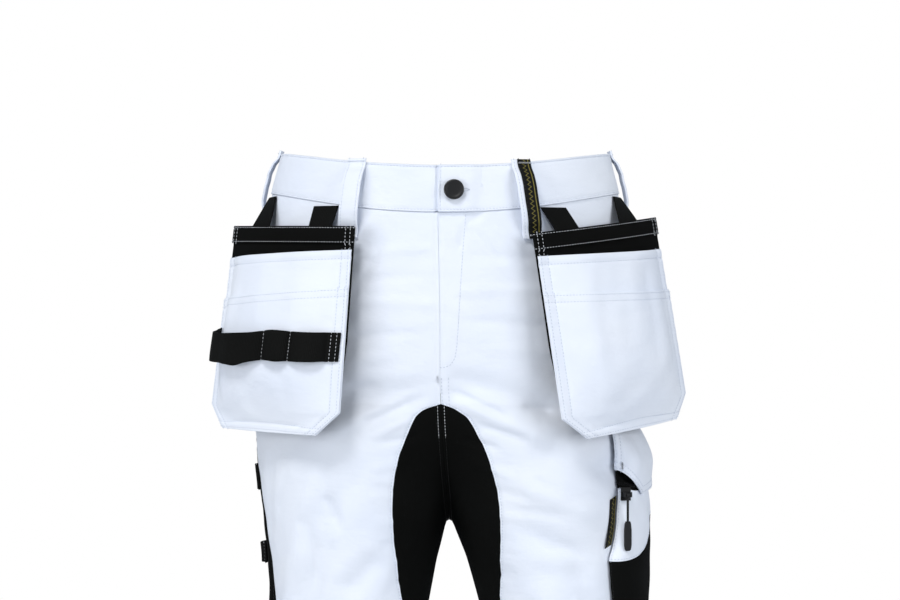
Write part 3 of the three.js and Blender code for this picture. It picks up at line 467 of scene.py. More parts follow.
def crease_at(leg, p):
    """How far the creases lift the cloth at points of one leg, before it is mirrored."""
    angle, z = angle_of(p), p[..., 2]
    reach = np.radians(
        (section("front", z) + section("back", z) + section("side", z) - section("inner", z)) / 4
    )
    lift = np.zeros(z.shape)
    for crease in CREASES + FINE_CREASES:
        if crease["leg"] == leg:
            run = (crease["angle2"] - crease["angle1"]) * reach, crease["z2"] - crease["z1"]
            place = (angle - crease["angle1"]) * reach, z - crease["z1"]
            lift += CREASE_STRENGTH * crease["depth"] * ridge(place, run, crease["width"])
    lift += 0.35 * np.sin(p[..., 0] / 17 + leg) * np.sin(z / 23)
    lift += 0.25 * np.sin((p[..., 0] + 1.7 * z) / 11 + p[..., 1] / 9)
    return lift * smooth(np.abs(p[..., 0]) / 14)


def dress(side, p, lift=0.0):
    """Puts points of the +X leg on the leg asked for, creased, swayed and lifted off the cloth."""
    n = skin_normal(p)
    out = p + n * (crease_at(side, p) + lift)[..., None]
    mirror = np.array((side, 1, 1))
    return out * mirror + point(section("sway", p[..., 2]), 0, 0), n * mirror


# Grids of points

def draw_in(points, start=True, end=True, top=True, bottom=True):
    """Draws the border of a grid in by half a seam, so that neighbours stay apart."""
    points = points.copy()

    def pull(edge, following):
        edge += unit(following - edge) * SEAM_GAP / 2

    if start:
        pull(points[:, 0], points[:, 1])
    if end:
        pull(points[:, -1], points[:, -2])
    if top:
        pull(points[0], points[1])
    if bottom:
        pull(points[-1], points[-2])
    return points


def lengths(points, axis):
    """Distances along a grid's rows (axis 1) or columns (axis 0), from its start."""
    steps = np.linalg.norm(np.diff(points, axis=axis), axis=-1)
    shape = list(points.shape[:-1])
    shape[axis] = 1
    return np.concatenate([np.zeros(shape), np.cumsum(steps, axis=axis)], axis=axis)


def edge_distance(points, edge):
    axis = 1 if edge in ("start", "end") else 0
    along = lengths(points, axis)
    if edge in ("end", "bottom"):
        total = along[:, -1:] if axis else along[-1:]
        return total - along
    return along


def grid_normals(points, hint):
    """Normals of a grid from its own points, on the side of the hint."""
    own = unit(np.cross(np.gradient(points, axis=0), np.gradient(points, axis=1)))
    return np.where((own * hint).sum(-1, keepdims=True) < 0, -own, own)


def relief(grid, seams):
    """Presses stitch lines into a grid and puckers it beside them. seams: (edge, (line, line))."""
    points, normals = grid
    lift = np.zeros(points.shape[:-1])
    for edge, lines in seams:
        away = edge_distance(points, edge)
        along = lengths(points, 0 if edge in ("start", "end") else 1)
        for line in lines:
            lift -= 0.55 * np.exp(-(((away - line) / 1.1) ** 2))
        outermost = max(lines)
        bulge = np.sin(np.clip(away / outermost, 0, 1) * np.pi)
        pucker = np.sin(along / 1.9 + 1.3 * np.sin(along / 13)) * (0.55 + 0.45 * np.sin(along / 29 + 1))
        near = np.exp(-(((away - outermost * 0.6) / (outermost * 0.8 + 3)) ** 2))
        lift += 0.35 * bulge + 0.2 * pucker * near
    return points + normals * lift[..., None], normals


def spread(count, edge=0.55):
    """Places from 0 to 1, closer together towards both ends."""
    t = np.linspace(0, 1, count)
    return t - edge * np.sin(2 * np.pi * t) / (2 * np.pi)


def inset_line(grid, edge, offset, start=0.0, end=1.0, lift=0.1):
    """A polyline on a grid at a distance from one of its edges."""
    points, normals = grid
    away = edge_distance(points, edge)
    if edge in ("top", "bottom"):
        points, normals, away = points.swapaxes(0, 1), normals.swapaxes(0, 1), away.T
    if edge in ("end", "bottom"):
        points, normals, away = points[:, ::-1], normals[:, ::-1], away[:, ::-1]
    rows = len(points)
    i = np.clip((away < offset).sum(1), 1, away.shape[1] - 1)
    k = np.arange(rows)
    t = ((offset - away[k, i - 1]) / np.maximum(away[k, i] - away[k, i - 1], 1e-6))[:, None]
    line = mix(points[k, i - 1], points[k, i], t) + mix(normals[k, i - 1], normals[k, i], t) * lift
    return line[int(start * (rows - 1)) : int(end * (rows - 1)) + 1]


# Distances of sewn rows from the edge of a piece
EDGE_ROW, HEM_ROW, GUSSET_ROW, BAND_ROW, BINDING_ROW = (2.0,), (20.0,), (3.2,), (2.2,), (1.6,)
FELLED_ROWS, TWIN_ROWS, POUCH_ROWS, HOLSTER_ROWS = (2.0, 8.0), (2.0, 7.0), (2.5, 9.5), (3.0, 8.0)


def rows_on(rows, *edges):
    """The same sewn rows beside several edges, for relief and seam_lines."""
    return [(edge, rows) for edge in edges]


def seam_lines(grid, seams, **run):
    """One line of a grid for each sewn row."""
    return [inset_line(grid, edge, away, **run) for edge, places in seams for away in places]


def settle(line, grid, lift=0.12):
    """Lays a free line on the nearest points of a grid."""
    flat, n = grid[0].reshape(-1, 3), grid[1].reshape(-1, 3)
    near = np.array([np.argmin(((flat - p) ** 2).sum(-1)) for p in line])
    height = ((flat[near] - line) * n[near]).sum(-1, keepdims=True)
    return line + n[near] * (height + lift)


# Meshes

def faces_of_grid(rows, columns):
    k = np.arange(rows * columns).reshape(rows, columns)
    return np.stack([k[:-1, :-1], k[1:, :-1], k[1:, 1:], k[:-1, 1:]], axis=-1).reshape(-1, 4)


def border_of_grid(rows, columns):
    """The grid's border points in turn, in the direction of its faces' edges reversed."""
    k = np.arange(rows * columns).reshape(rows, columns)
    return np.concatenate([k[0, :-1], k[:-1, -1], k[-1, :0:-1], k[:0:-1, 0]])


def new_mesh_object(name, vertices, faces, flat, material, sharp=45):
    mesh = bpy.data.meshes.new(name)
    mesh.from_pydata((vertices * MM).tolist(), [], faces.tolist())
    layer = mesh.uv_layers.new(name="cloth")
    corners = np.empty(len(mesh.loops), np.int32)
    mesh.loops.foreach_get("vertex_index", corners)
    layer.data.foreach_set("uv", (flat[corners] * MM).astype(np.float32).ravel())
    mesh.shade_smooth()
    mesh.set_sharp_from_angle(angle=math.radians(sharp))
    mesh.materials.append(material)
    obj = bpy.data.objects.new(name, mesh)
    bpy.context.scene.collection.objects.link(obj)
    return obj


def merge_doubles(obj):
    form = bmesh.new()
    form.from_mesh(obj.data)
    bmesh.ops.remove_doubles(form, verts=form.verts, dist=1e-6)
    bmesh.ops.recalc_face_normals(form, faces=form.faces)
    form.to_mesh(obj.data)
    form.free()


def border_drop(points, radius):
    """How far a folded edge of a radius lies below the face at each point of a grid."""
    away = np.min([edge_distance(points, edge) for edge in ("start", "end", "top", "bottom")], axis=0)
    return radius * (1 - quarter(away / radius))


def round_border(points, normals, radius):
    """Adds two lines beside each border of a grid and bends them over, as a folded edge is."""
    for axis in (0, 1):
        points, normals = points.swapaxes(0, axis), normals.swapaxes(0, axis)
        for _ in range(2):
            step = np.linalg.norm(points[1] - points[0], axis=-1, keepdims=True)
            whole = radius / np.maximum(step, 1e-6)
            shares = [np.minimum(whole * part, 0.45 + 0.3 * part) for part in (0.3, 1.0)]
            extra = [mix(points[0], points[1], share) for share in shares]
            points = np.concatenate([points[:1], extra, points[1:]])
            normals = np.concatenate([normals[:1], [normals[0]] * 2, normals[1:]])
            points, normals = points[::-1], normals[::-1]
        points, normals = points.swapaxes(0, axis), normals.swapaxes(0, axis)
    return points - normals * border_drop(points, radius)[..., None], normals


def cloth_mesh(name, points, normals, thickness, material, one_layer, drop):
    """A wall of cloth on the grid of its outer face, or with one layer that face and its rim."""
    rows, columns = points.shape[:2]
    across, down = lengths(points, 1), lengths(points, 0)
    height = np.broadcast_to(-down[:, columns // 2, None], across.shape)
    flat = np.stack([across - across[:, -1:] / 2, height], -1).reshape(-1, 2)
    outer = faces_of_grid(rows, columns)
    rim = border_of_grid(rows, columns)
    depth = thickness - drop
    back = (points - normals * depth[..., None]).reshape(-1, 3)
    whole = points.reshape(-1, 3)
    if one_layer:
        inner = len(whole) + np.arange(len(rim))
        vertices, flat = np.concatenate([whole, back[rim]]), np.concatenate([flat, flat[rim]])
        faces = [outer]
    else:
        inner = len(whole) + rim
        vertices, flat = np.concatenate([whole, back]), np.concatenate([flat, flat])
        faces = [outer, outer[:, ::-1] + len(whole)]
    faces.append(np.stack([rim, np.roll(rim, -1), np.roll(inner, -1), inner], -1))
    faces = np.concatenate(faces)
    a, b, c = (whole[outer[:, k]] for k in range(3))
    if (np.cross(b - a, c - a) * normals[:-1, :-1].reshape(-1, 3)).sum() < 0:
        faces = faces[:, ::-1]
    return new_mesh_object(name, vertices, faces, flat, material)


CLOTH_OF_SLOT = {
    "white_twill": "White twill",
    "cordura": "Black cordura",
    "stretch": "Black stretch",
    "webbing": "Black webbing",
    "zip": "Black webbing",
    "tape": "Black tape",
}
LEAST_AREA = 0.3001  # share of its length times its width that a sheet has at least


def finish_piece(obj, slot, *nodes):
    if nodes:
        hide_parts(*nodes)
    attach(obj, "garment")
    return obj


def cloth_piece(
    name, grid, slot, nodes, thickness=POCKET_CLOTH, one_layer=False, rounded=0.0
):
    """Makes a piece of cloth from the grid of its outer face, and names it."""
    points, normals = grid
    across, down = lengths(points, 1)[:, -1], lengths(points, 0)[-1]
    steps = np.cross(points[1:, :-1] - points[:-1, :-1], points[:-1, 1:] - points[:-1, :-1])
    flat = [float(across.max() * MM), float(down.max() * MM)]
    area = float(np.linalg.norm(steps, axis=-1).sum() * MM * MM)
    drop = np.zeros(points.shape[:2])
    if rounded:
        points, normals = round_border(points, normals, rounded)
        drop = border_drop(points, rounded)
    material = bpy.data.materials[CLOTH_OF_SLOT[slot]]
    obj = finish_piece(cloth_mesh(name, points, normals, thickness, material, one_layer, drop), slot, *nodes)
    whole = flat[0] * flat[1]
    area = min(max(area, LEAST_AREA * whole), whole)


# Seams of the body

LEG_NAME = {1: "left", -1: "right"}


def gusset_across(side, z):
    return curve_at(GUSSET, LEG_NAME[side], z)


def gusset_height(t):
    return mix(GUSSET_TOP, GUSSET_TIP, (1 - np.cos(np.pi * t)) / 2)


def tip_angle(back):
    return 270 - TIP_ANGLE if back else TIP_ANGLE - 90


def middle_seam(side, back, z):
    """How far across the front or back middle seam lies: the front one leans with the closing."""
    if back:
        return np.zeros(np.shape(z))
    high = WAIST["front"][0]
    return side * mix(CLOSING["top"], 0, np.clip((high - np.asarray(z, float)) / (high - GUSSET_TOP), 0, 1))


MIDDLE_ANGLE = {
    place: float(angle_across(0, WAIST[place][0], place == "back")) for place in ("front", "back")
}
SADDLE = leave(point(0, pole_at(GUSSET_TOP)[..., 1], GUSSET_TOP), np.array((0.0, 0.0, -1.0)))


def waist_edge(edge, angle):
    """Height of the waistband's lower (0) or upper (1) edge, by angle."""
    angle = np.asarray(angle, float)
    behind = angle > 90
    middle = np.where(behind, MIDDLE_ANGLE["back"], MIDDLE_ANGLE["front"])
    end = np.where(behind, WAIST["back"][edge], WAIST["front"][edge])
    return mix(end, WAIST["side"][edge], smooth((angle - middle) / (90 - middle)))


# Leg panels

ROWS_ABOVE, ROWS_GUSSET, ROWS_BELOW, PANEL_COLUMNS = 84, 116, 104, 112
HEM_TURN = ((2.2, 0), (2.6, 12), (2.2, 24))
FLY_STITCH = table(
    "z out",
    [(-24, 25), (-70, 20.5), (-107, 17.6), (-140, 15.4), (-152, 13.6), (-158, 10), (-160.5, 5), (-161, 0.8)],
)


def panel_grid(side, back):
    """A leg panel from the waist, beside the gusset and down the inseam to the hem."""
    place = "back" if back else "front"
    u = spread(PANEL_COLUMNS)[None, :]
    t = np.linspace(0, 1, ROWS_ABOVE)[:, None]
    waist = WAIST[place][0]
    low = mix(waist, GUSSET_TOP, t)
    first = angle_across(middle_seam(side, back, waist), waist, back)
    top = waist_edge(0, mix(first, 90, u))
    starts = [angle_across(middle_seam(side, back, low), low, back)]
    heights = [mix(top, GUSSET_TOP, t)]
    z = gusset_height(np.linspace(0, 1, ROWS_GUSSET + 1)[1:, None])
    beside = angle_across(gusset_across(side, z), z, back)
    beside[-1] = tip_angle(back)
    starts.append(beside)
    heights.append(z + 0 * u)
    z = mix(GUSSET_TIP - TIP_ROOM, HEM, np.linspace(0, 1, ROWS_BELOW)[:, None])
    starts.append(np.full(z.shape, 270.0 if back else -90.0))
    heights.append(z + 0 * u)
    angle = mix(np.concatenate(starts), 90, u)
    points, normals = dress(side, skin_point(angle, np.concatenate(heights)))
    return draw_in(points, bottom=False), normals


def turned_hem(grid):
    """Adds the turned-up inside of a hem below a panel's last row."""
    points, normals = grid
    extra = [points[-1] - normals[-1] * depth + point(0, 0, up) for depth, up in HEM_TURN]
    return np.concatenate([points, np.stack(extra)]), np.concatenate([normals, [normals[-1]] * len(extra)])


def fly_stitch(grid):
    """The curved line that holds the fly, on the wearer's left front."""
    t = np.linspace(0, len(FLY_STITCH) - 1, 90)
    z, out = (np.interp(t, range(len(FLY_STITCH)), column(FLY_STITCH, name)) for name in ("z", "out"))
    angle = angle_across(middle_seam(1, False, z) + out, z, False)
    return settle(dress(1, skin_point(angle, z))[0], grid)


def bartack(middle, along, normal, length=7.0, width=1.6, turns=11):
    """A dense zigzag of thread that holds the end of a seam."""
    across = np.cross(normal, along)
    t = np.linspace(-0.5, 0.5, 2 * turns + 1)
    swing = np.where(np.arange(len(t)) % 2, 0.5, -0.5)
    return middle + np.outer(t * length, along) + np.outer(swing * width, across) + normal * 0.25


# Gusset

CLEAR_OF_SADDLE = 1 / 13


def gusset_grid(side):
    """Slings from the front edge, under the fork or round the inner leg, to the back edge."""
    t, q = np.linspace(0, 1, 97)[:, None], spread(73)[None, :]
    z = gusset_height(t)
    across = gusset_across(side, z)

    def edge(back):
        angle = angle_across(across, z, back)
        angle[-1] = tip_angle(back)
        return skin_point(angle, z)

    pole = pole_at(z)
    origin = point(mix(across, pole[..., 0], t**2), pole[..., 1], z)
    lowest = skin_point(-90, mix(SADDLE[2], GUSSET_TIP, np.maximum(t, CLEAR_OF_SADDLE) ** 1.8))
    lowest = mix(SADDLE, lowest, np.minimum(t / CLEAR_OF_SADDLE, 1)[..., None])
    turn = (np.pi * q)[..., None]
    rim = np.where(q[..., None] < 0.5, edge(False), edge(True))
    way = (lowest - origin) * np.sin(turn) + (rim - origin) * np.abs(np.cos(turn))
    points, normals = dress(side, leave(origin, way))
    return draw_in(points), normals


# Waistband

def closing_knots(side):
    """Places across and heights of a waistband half where one half laps over the other."""
    lap, proud, lap_proud, step = (CLOSING[name] for name in ("lap", "proud", "lap_proud", "step"))
    under = lap_proud - BAND_CLOTH - SEAM_GAP
    if side > 0:
        return [(CLOSING["top"], lap_proud), (lap, lap_proud), (lap + 3 * step, proud)]
    return [(step - lap, under), (SEAM_GAP - CLOSING["top"], under), (step - CLOSING["top"], proud)]


def waistband_grid(side):
    """One half of the waistband, from the front closing, over the side seam, to the middle of the back."""
    (a0, p0), (a1, p1), (a2, p2) = closing_knots(side)
    v = spread(27, 0.6)[:, None]
    flat, rise = spread(16)[:-1], np.linspace(0, 1, 9)[:-1]
    across = np.concatenate([mix(a0, a1, flat), mix(a1, a2, rise)])
    proud = np.concatenate([mix(p0, p1, flat), mix(p1, p2, smooth(rise))])
    narrow = np.concatenate([np.ones(len(flat)), 1 - smooth(rise)]) if side < 0 else 0 * across
    low_angle = angle_across(across, WAIST["front"][0], False)
    z_closing = mix(waist_edge(0, low_angle) + narrow, waist_edge(1, low_angle), v)
    closing = angle_across(across, z_closing, False)
    first = angle_across(a2, WAIST["front"][0], False)
    rest = mix(first, MIDDLE_ANGLE["back"], np.linspace(0, 1, 150))
    z_rest = mix(waist_edge(0, rest), waist_edge(1, rest), v)
    around = np.broadcast_to(rest, z_rest.shape).copy()
    around[:, -1] = angle_across(0, z_rest[:, -1], True)
    angle, z = np.concatenate([closing, around], 1), np.concatenate([z_closing, z_rest], 1)
    lift = np.concatenate([proud, np.full(len(rest), p2)])[None, :] + 0 * z
    points, normals = dress(side, skin_point(angle, z), lift)
    return draw_in(points, start=False, bottom=False)[::-1], normals[::-1]


# Straps and belt loops

def waist_station(side, angle, z, lift, aside=0.0):
    p, n = dress(side, skin_point(angle, z), lift)
    w = unit(point(-n[..., 1] * side, n[..., 0] * side, 0))
    n = unit(n * (1, 1, 0))
    return p + w * np.asarray(aside)[..., None], n, w


def strap_grid(p, n, w, width, count=11, crown=0.3):
    t = np.linspace(-0.5, 0.5, count)
    dome = crown * (1 - (2 * t) ** 4)
    points = p[:, None] + w[:, None] * (t * width)[:, None] + n[:, None] * dome[:, None]
    return points, np.broadcast_to(n[:, None], points.shape).copy()


def loop_grid(loop, extra=0.0, offset=0.0, width=None):
    at = MIDDLE_ANGLE["back"] if loop["angle"] is None else loop["angle"]
    top = float(waist_edge(1, at)) + loop["over"]
    foot = float(waist_edge(0, at)) - LOOP["below"]
    along = np.linspace(0, 1, 45)
    rise = np.interp(along, [a for a, _ in LOOP_BOW], [r for _, r in LOOP_BOW])
    rise = np.convolve(np.pad(rise, 2, mode="edge"), (0.1, 0.25, 0.3, 0.25, 0.1), mode="valid")
    seat = CLOSING["proud"] + SEAM_GAP + LOOP["cloth"] + extra
    lift, aside = seat + rise * loop["stand_off"], offset + loop["lean"] * along
    p, n, w = waist_station(loop["side"], at, mix(top, foot, along), lift, aside)
    return strap_grid(p, n, w, width or LOOP["width"])


# Holster pockets

MOUTH_ROWS = 24


def holster_point(holster, across, down, lift):
    """A point of a hanging pocket: across to its outer side, down from its top edge, lift off its back."""
    across, down, lift = np.broadcast_arrays(np.asarray(across, float), down, lift)
    roll, yaw = math.radians(holster["roll"]), math.radians(holster["yaw"])
    a = across * math.cos(roll) + down * math.sin(roll)
    b = down * math.cos(roll) - across * math.sin(roll)
    radius = HOLSTER["plan_radius"]
    bend = a / radius
    sideways = (radius + lift) * np.sin(bend)
    out = (radius + lift) * np.cos(bend) - radius + b * math.tan(math.radians(holster["pitch"]))
    x = holster["x"] + sideways * math.cos(yaw) + out * math.sin(yaw)
    y = holster["y"] + sideways * math.sin(yaw) - out * math.cos(yaw)
    mirror = np.array((holster["side"], 1, 1))
    turn = yaw + bend
    return point(x, y, holster["z"] - b) * mirror, point(np.sin(turn), -np.cos(turn), 0) * mirror


def holster_half(down):
    height, chamfer = HOLSTER["height"], HOLSTER["chamfer_down"]
    straight = mix(HOLSTER["top_half"], HOLSTER["bottom_half"], down / height)
    return straight - np.clip((down - height + chamfer) / chamfer, 0, 1) * HOLSTER["chamfer_across"]


def pouch_lift(holster, across, down):
    """How far the pouch stands off the back layer, with its soft folds."""
    mouth, height, border = HOLSTER["mouth"][0], HOLSTER["height"], HOLSTER["border"]
    edge = holster_half(np.minimum(down, height - 1)) - border - np.abs(across)
    foot = height - border - down

    def rise(room, full):
        return np.sin(np.clip(room / full, 0, 1) * np.pi / 2)

    t = np.clip((down - mouth) / (height - mouth), 0, 1)
    depth = mix(holster["mouth_gap"], holster["belly"], smooth(t * 1.7))
    folds = np.zeros(np.broadcast(across, down).shape)
    for fold in POUCH_FOLDS:
        if fold["side"] == holster["side"]:
            run = fold["across2"] - fold["across1"], fold["down2"] - fold["down1"]
            place = across - fold["across1"], down - fold["down1"]
            folds += fold["depth"] * ridge(place, run, fold["width"])
    ripple = 0.25 * np.sin(across / 7.3 + down / 19) * np.sin(down / 13 + holster["side"])
    return rise(edge, 50) * rise(foot, 62) * depth + (folds + ripple) * rise(edge, 14) * rise(foot, 14)


def holster_layer(holster, downs, lift, narrower=0.0):
    """A flat layer of the pocket between two distances from its top edge."""
    hidden = narrower * smooth((downs[:, None] - 100) / 40)
    across = (holster_half(downs[:, None]) - hidden) * np.linspace(-1, 1, 45)
    return holster_point(holster, across, downs[:, None], lift)


def pouch_grid(holster):
    """The pouch from its slanting mouth to its foot, and where the outer pocket's edge crosses it."""
    mouth, outer, height = HOLSTER["mouth"], HOLSTER["outer_pocket"], HOLSTER["height"]
    border, inset = HOLSTER["border"], HOLSTER["inset"]
    knee = height - HOLSTER["chamfer_down"]
    part = spread(57, 0.5) * 2 - 1
    rim = border * np.linspace(1, 0, 6)[:-1]

    def reach(down):
        inner = (holster_half(down) - inset - border)[..., None]
        return np.concatenate([-inner - rim, inner * part, inner + rim[::-1]], -1)

    first = reach(np.asarray(float(mouth[0])))
    tilt = np.clip(first / HOLSTER["top_half"] / 2 + 0.5, 0, 1)
    top, middle = mix(*mouth, tilt), mix(*outer, tilt)
    downs = np.concatenate(
        [
            mix(top, middle, np.linspace(0, 1, MOUTH_ROWS + 1)[:-1, None]),
            mix(middle, knee, np.linspace(0, 1, 45)[:-1, None]),
            mix(knee, height - border, np.linspace(0, 1, 9)[:-1, None]) + 0 * top,
            mix(height - border, height - inset, np.linspace(0, 1, 6)[:, None]) + 0 * top,
        ]
    )
    k = np.arange(downs.shape[1])
    across = reach(downs)[:, k, k]
    points, hint = holster_point(holster, across, downs, LAYER + pouch_lift(holster, across, downs))
    return points, grid_normals(points, hint)


def pouch_surface(holster, across, down):
    """Points on the pouch with their own outward normals."""
    def at(a, d):
        return holster_point(holster, a, d, LAYER + pouch_lift(holster, a, d))

    p, hint = at(across, down)
    run_down = at(across, down + 4)[0] - at(across, down - 4)[0]
    run_across = at(across + 4, down)[0] - at(across - 4, down)[0]
    own = unit(np.cross(run_down, run_across))
    return p, np.where((own * hint).sum(-1, keepdims=True) < 0, -own, own)


def holster_strap_grid(holster, index):
    """A webbing strap from under the waistband to the back of the pocket's top edge."""
    across, angle = STRAP["at"][index], holster["strap_angle"][index]
    lift = WEBBING + SEAM_GAP
    p0, n0, w0 = waist_station(holster["side"], angle, float(waist_edge(0, angle)) - 2.5, np.array(lift))
    behind = -POCKET_CLOTH - STRAP["room"]
    downs = 1, STRAP["tuck"]
    (p1, n1), (p2, n2) = (holster_point(holster, across, down, behind) for down in downs)
    w1, w2 = (
        unit(holster_point(holster, across + 1, down, behind)[0] - p) for down, p in zip(downs, (p1, p2))
    )
    w0 = w0 * (-1 if w0 @ w1 < 0 else 1)
    t = np.linspace(0, 1, 18)[:, None]
    p = np.concatenate([mix(p0, p1, t), mix(p1, p2, t[5::4])])
    n = np.concatenate([unit(mix(n0, n1, t)), unit(mix(n1, n2, t[5::4]))])
    w = np.concatenate([unit(mix(w0, w1, t)), unit(mix(w1, w2, t[5::4]))])
    return strap_grid(p, n, w, STRAP["width"], crown=0.0)


ARCH_STEPS = 26


def tool_band_grid(holster):
    """The elastic band, which stands off the outer pocket between its stitched divisions."""
    across, rise, sag = [np.array([ELASTIC["start"]], float)], [np.zeros(1)], [np.zeros(1)]
    for loop in ELASTIC_LOOPS:
        t = np.linspace(0, 1, ARCH_STEPS + 1)[1:]
        arch = np.sin(np.pi * t)
        across.append(mix(across[-1][-1], loop["end"], t))
        rise.append(loop["stand_off"] * np.abs(arch) ** 0.7)
        sag.append(loop["sag"] * arch)
    across, rise, sag = (np.concatenate(part) for part in (across, rise, sag))
    v = np.linspace(0, 1, 15)[:, None]
    down = ELASTIC["top"] + sag + v * ELASTIC["height"]
    p, n = pouch_surface(holster, across + 0 * down, down)
    points = p + n * (2 * LAYER + ELASTIC["room"] + rise + 0 * down)[..., None]
    return points, grid_normals(points, n)


# Thigh pocket and rule pocket

def thigh_edge(name, u):
    return np.interp(u, column(THIGH_EDGES, "u"), column(THIGH_EDGES, name))


def on_thigh(u, z, lift, aside=0.0):
    angle = mix(curve_at(THIGH_FRONT, "angle", z), THIGH["back"], u) + aside
    return dress(1, skin_point(angle, z), lift)


def thigh_lift(u, z):
    side = quarter(np.minimum(u, 1 - u) * 11)
    below = thigh_edge("mouth", u) - z
    full = 0.9 + 0.1 * smooth(below / 36) - 0.2 * smooth(below / 30) * (1 - smooth(u / 0.3))
    return LAYER + THIGH["stand_off"] * side * quarter((z - THIGH["bottom"]) / 24) * full


def thigh_part(top, bottom, rows):
    u, v = spread(81, 0.8)[None, :], np.linspace(0, 1, rows)[:, None]
    z = mix(top + 0 * u, bottom + 0 * u, v)
    u = u + 0 * z
    ripple = 0.5 * np.sin(u * 23 + z / 31) * np.sin(z / 17) * quarter(np.minimum(u, 1 - u) * 5)
    points, hint = on_thigh(u, z, thigh_lift(u, z) + ripple)
    points = draw_in(points, start=False, end=False)
    return points, grid_normals(points, hint)


def thigh_zip_grid():
    u, v = spread(81, 0.8)[None, :], np.linspace(0, 1, 13)[:, None]
    mouth = thigh_edge("mouth", u) + 0 * v
    lift = mix(LAYER + 0.4, thigh_lift(u + 0 * v, mouth), v)
    points, hint = on_thigh(u + 0 * v, mouth + ZIP_HEIGHT * (1 - v), lift)
    points = draw_in(points, start=False, end=False, top=False)
    return points, grid_normals(points, hint)


def thigh_flap_grid():
    u, v = spread(81, 0.8)[None, :], np.linspace(0, 1, 41)[:, None]
    z = mix(FLAP["top"], thigh_edge("flap", u), v)
    bulge = np.sin(np.minimum(1, v * 1.5) * np.pi / 2) * (THIGH["stand_off"] + FLAP["extra"])
    tuck = FLAP["extra"] * smooth((v - 0.6) * 2.5)
    sewn = mix(FLAP["seat"], FLAP["room"], smooth(v * 5))
    wave = 0.5 * np.sin(u * 17 + v * 2) * smooth(v * 2)
    lift = LAYER + sewn + (bulge - tuck + wave) * quarter(np.minimum(u, 1 - u) * 11)
    points, hint = on_thigh(u + 0 * z, z, lift, mix(FLAP["front"], FLAP["back"], u))
    return points, grid_normals(points, hint)


def side_tag_grid():
    u, v = np.linspace(0, 1, 9)[None, :], np.linspace(0, 1, 25)[:, None]
    z = TAG["top"] - v * TAG["height"] + 3 * u
    per_degree = np.radians((section("front", z) + section("back", z)) / 2)
    angle = curve_at(THIGH_FRONT, "angle", z) - (0.8 + (1 - u) * TAG["width"]) / per_degree
    lift = TAG["cloth"] + SEAM_GAP + 1.2 * (1 - u) * smooth((v - 0.4) * 2)
    return dress(1, skin_point(angle, z), lift)


def rule_angle(u, z):
    run = (RULE["top"] - z) / (RULE["top"] - RULE["bottom"])
    return mix(mix(*RULE["front"], smooth(run)), RULE["back"], u)


def rule_lift(u, z):
    return LAYER + RULE["stand_off"] * quarter(np.minimum(u, 1 - u) * 6) * quarter((z - RULE["bottom"]) / 24)


def rule_pocket_grid():
    u, v = spread(61, 0.8)[None, :], np.linspace(0, 1, 91)[:, None]
    z = mix(RULE["top"], RULE["bottom"], v) + 0 * u
    u = u + 0 * z
    ripple = 0.4 * np.sin(z / 23 + u * 5) * quarter(np.minimum(u, 1 - u) * 5)
    points, hint = dress(-1, skin_point(rule_angle(u, z), z), rule_lift(u, z) + ripple)
    return points, grid_normals(points, hint)


def rule_loop_grid(loop):
    """A webbing loop over the rule pocket, sewn down at its two ends."""
    t, v = np.linspace(0, 1, 57)[None, :], np.linspace(0.5, -0.5, 11)[:, None]
    rise = np.interp(t, np.linspace(0, 1, 9), (0, 0, 0.8, 1, 1, 1, 0.8, 0, 0)) + 0 * v
    u = mix(RULE_LOOP["from"], RULE_LOOP["to"], t) + 0 * v
    z = loop["z"] + v * loop["height"] + 0 * t
    lift = rule_lift(u, z) + WEBBING + SEAM_GAP + RULE_LOOP["room"] + loop["stand_off"] * rise
    points, hint = dress(-1, skin_point(rule_angle(u, z), z), lift)
    return points, grid_normals(points, hint)


# Sewing and small repeated parts, by Geometry Nodes

def node_tree_sockets(tree, **inputs):
    kinds = {"Geometry": "NodeSocketGeometry", "Material": "NodeSocketMaterial"}
    tree.interface.new_socket("Geometry", in_out="OUTPUT", socket_type="NodeSocketGeometry")
    tree.interface.new_socket("Geometry", in_out="INPUT", socket_type="NodeSocketGeometry")
    for name, value in inputs.items():
        label = name.replace("_", " ").capitalize()
        kind = kinds.get(label, "NodeSocketFloat")
        socket = tree.interface.new_socket(label, in_out="INPUT", socket_type=kind)
        if label not in kinds:
            socket.default_value = value


def end_tree(tree, given, out, made):
    """Ends a tree with real geometry in its material."""
    real, paint = tree.nodes.new("GeometryNodeRealizeInstances"), tree.nodes.new("GeometryNodeSetMaterial")
    tree.links.new(made, real.inputs[0])
    tree.links.new(real.outputs[0], paint.inputs["Geometry"])
    tree.links.new(given.outputs["Material"], paint.inputs["Material"])
    tree.links.new(paint.outputs[0], out.inputs[0])


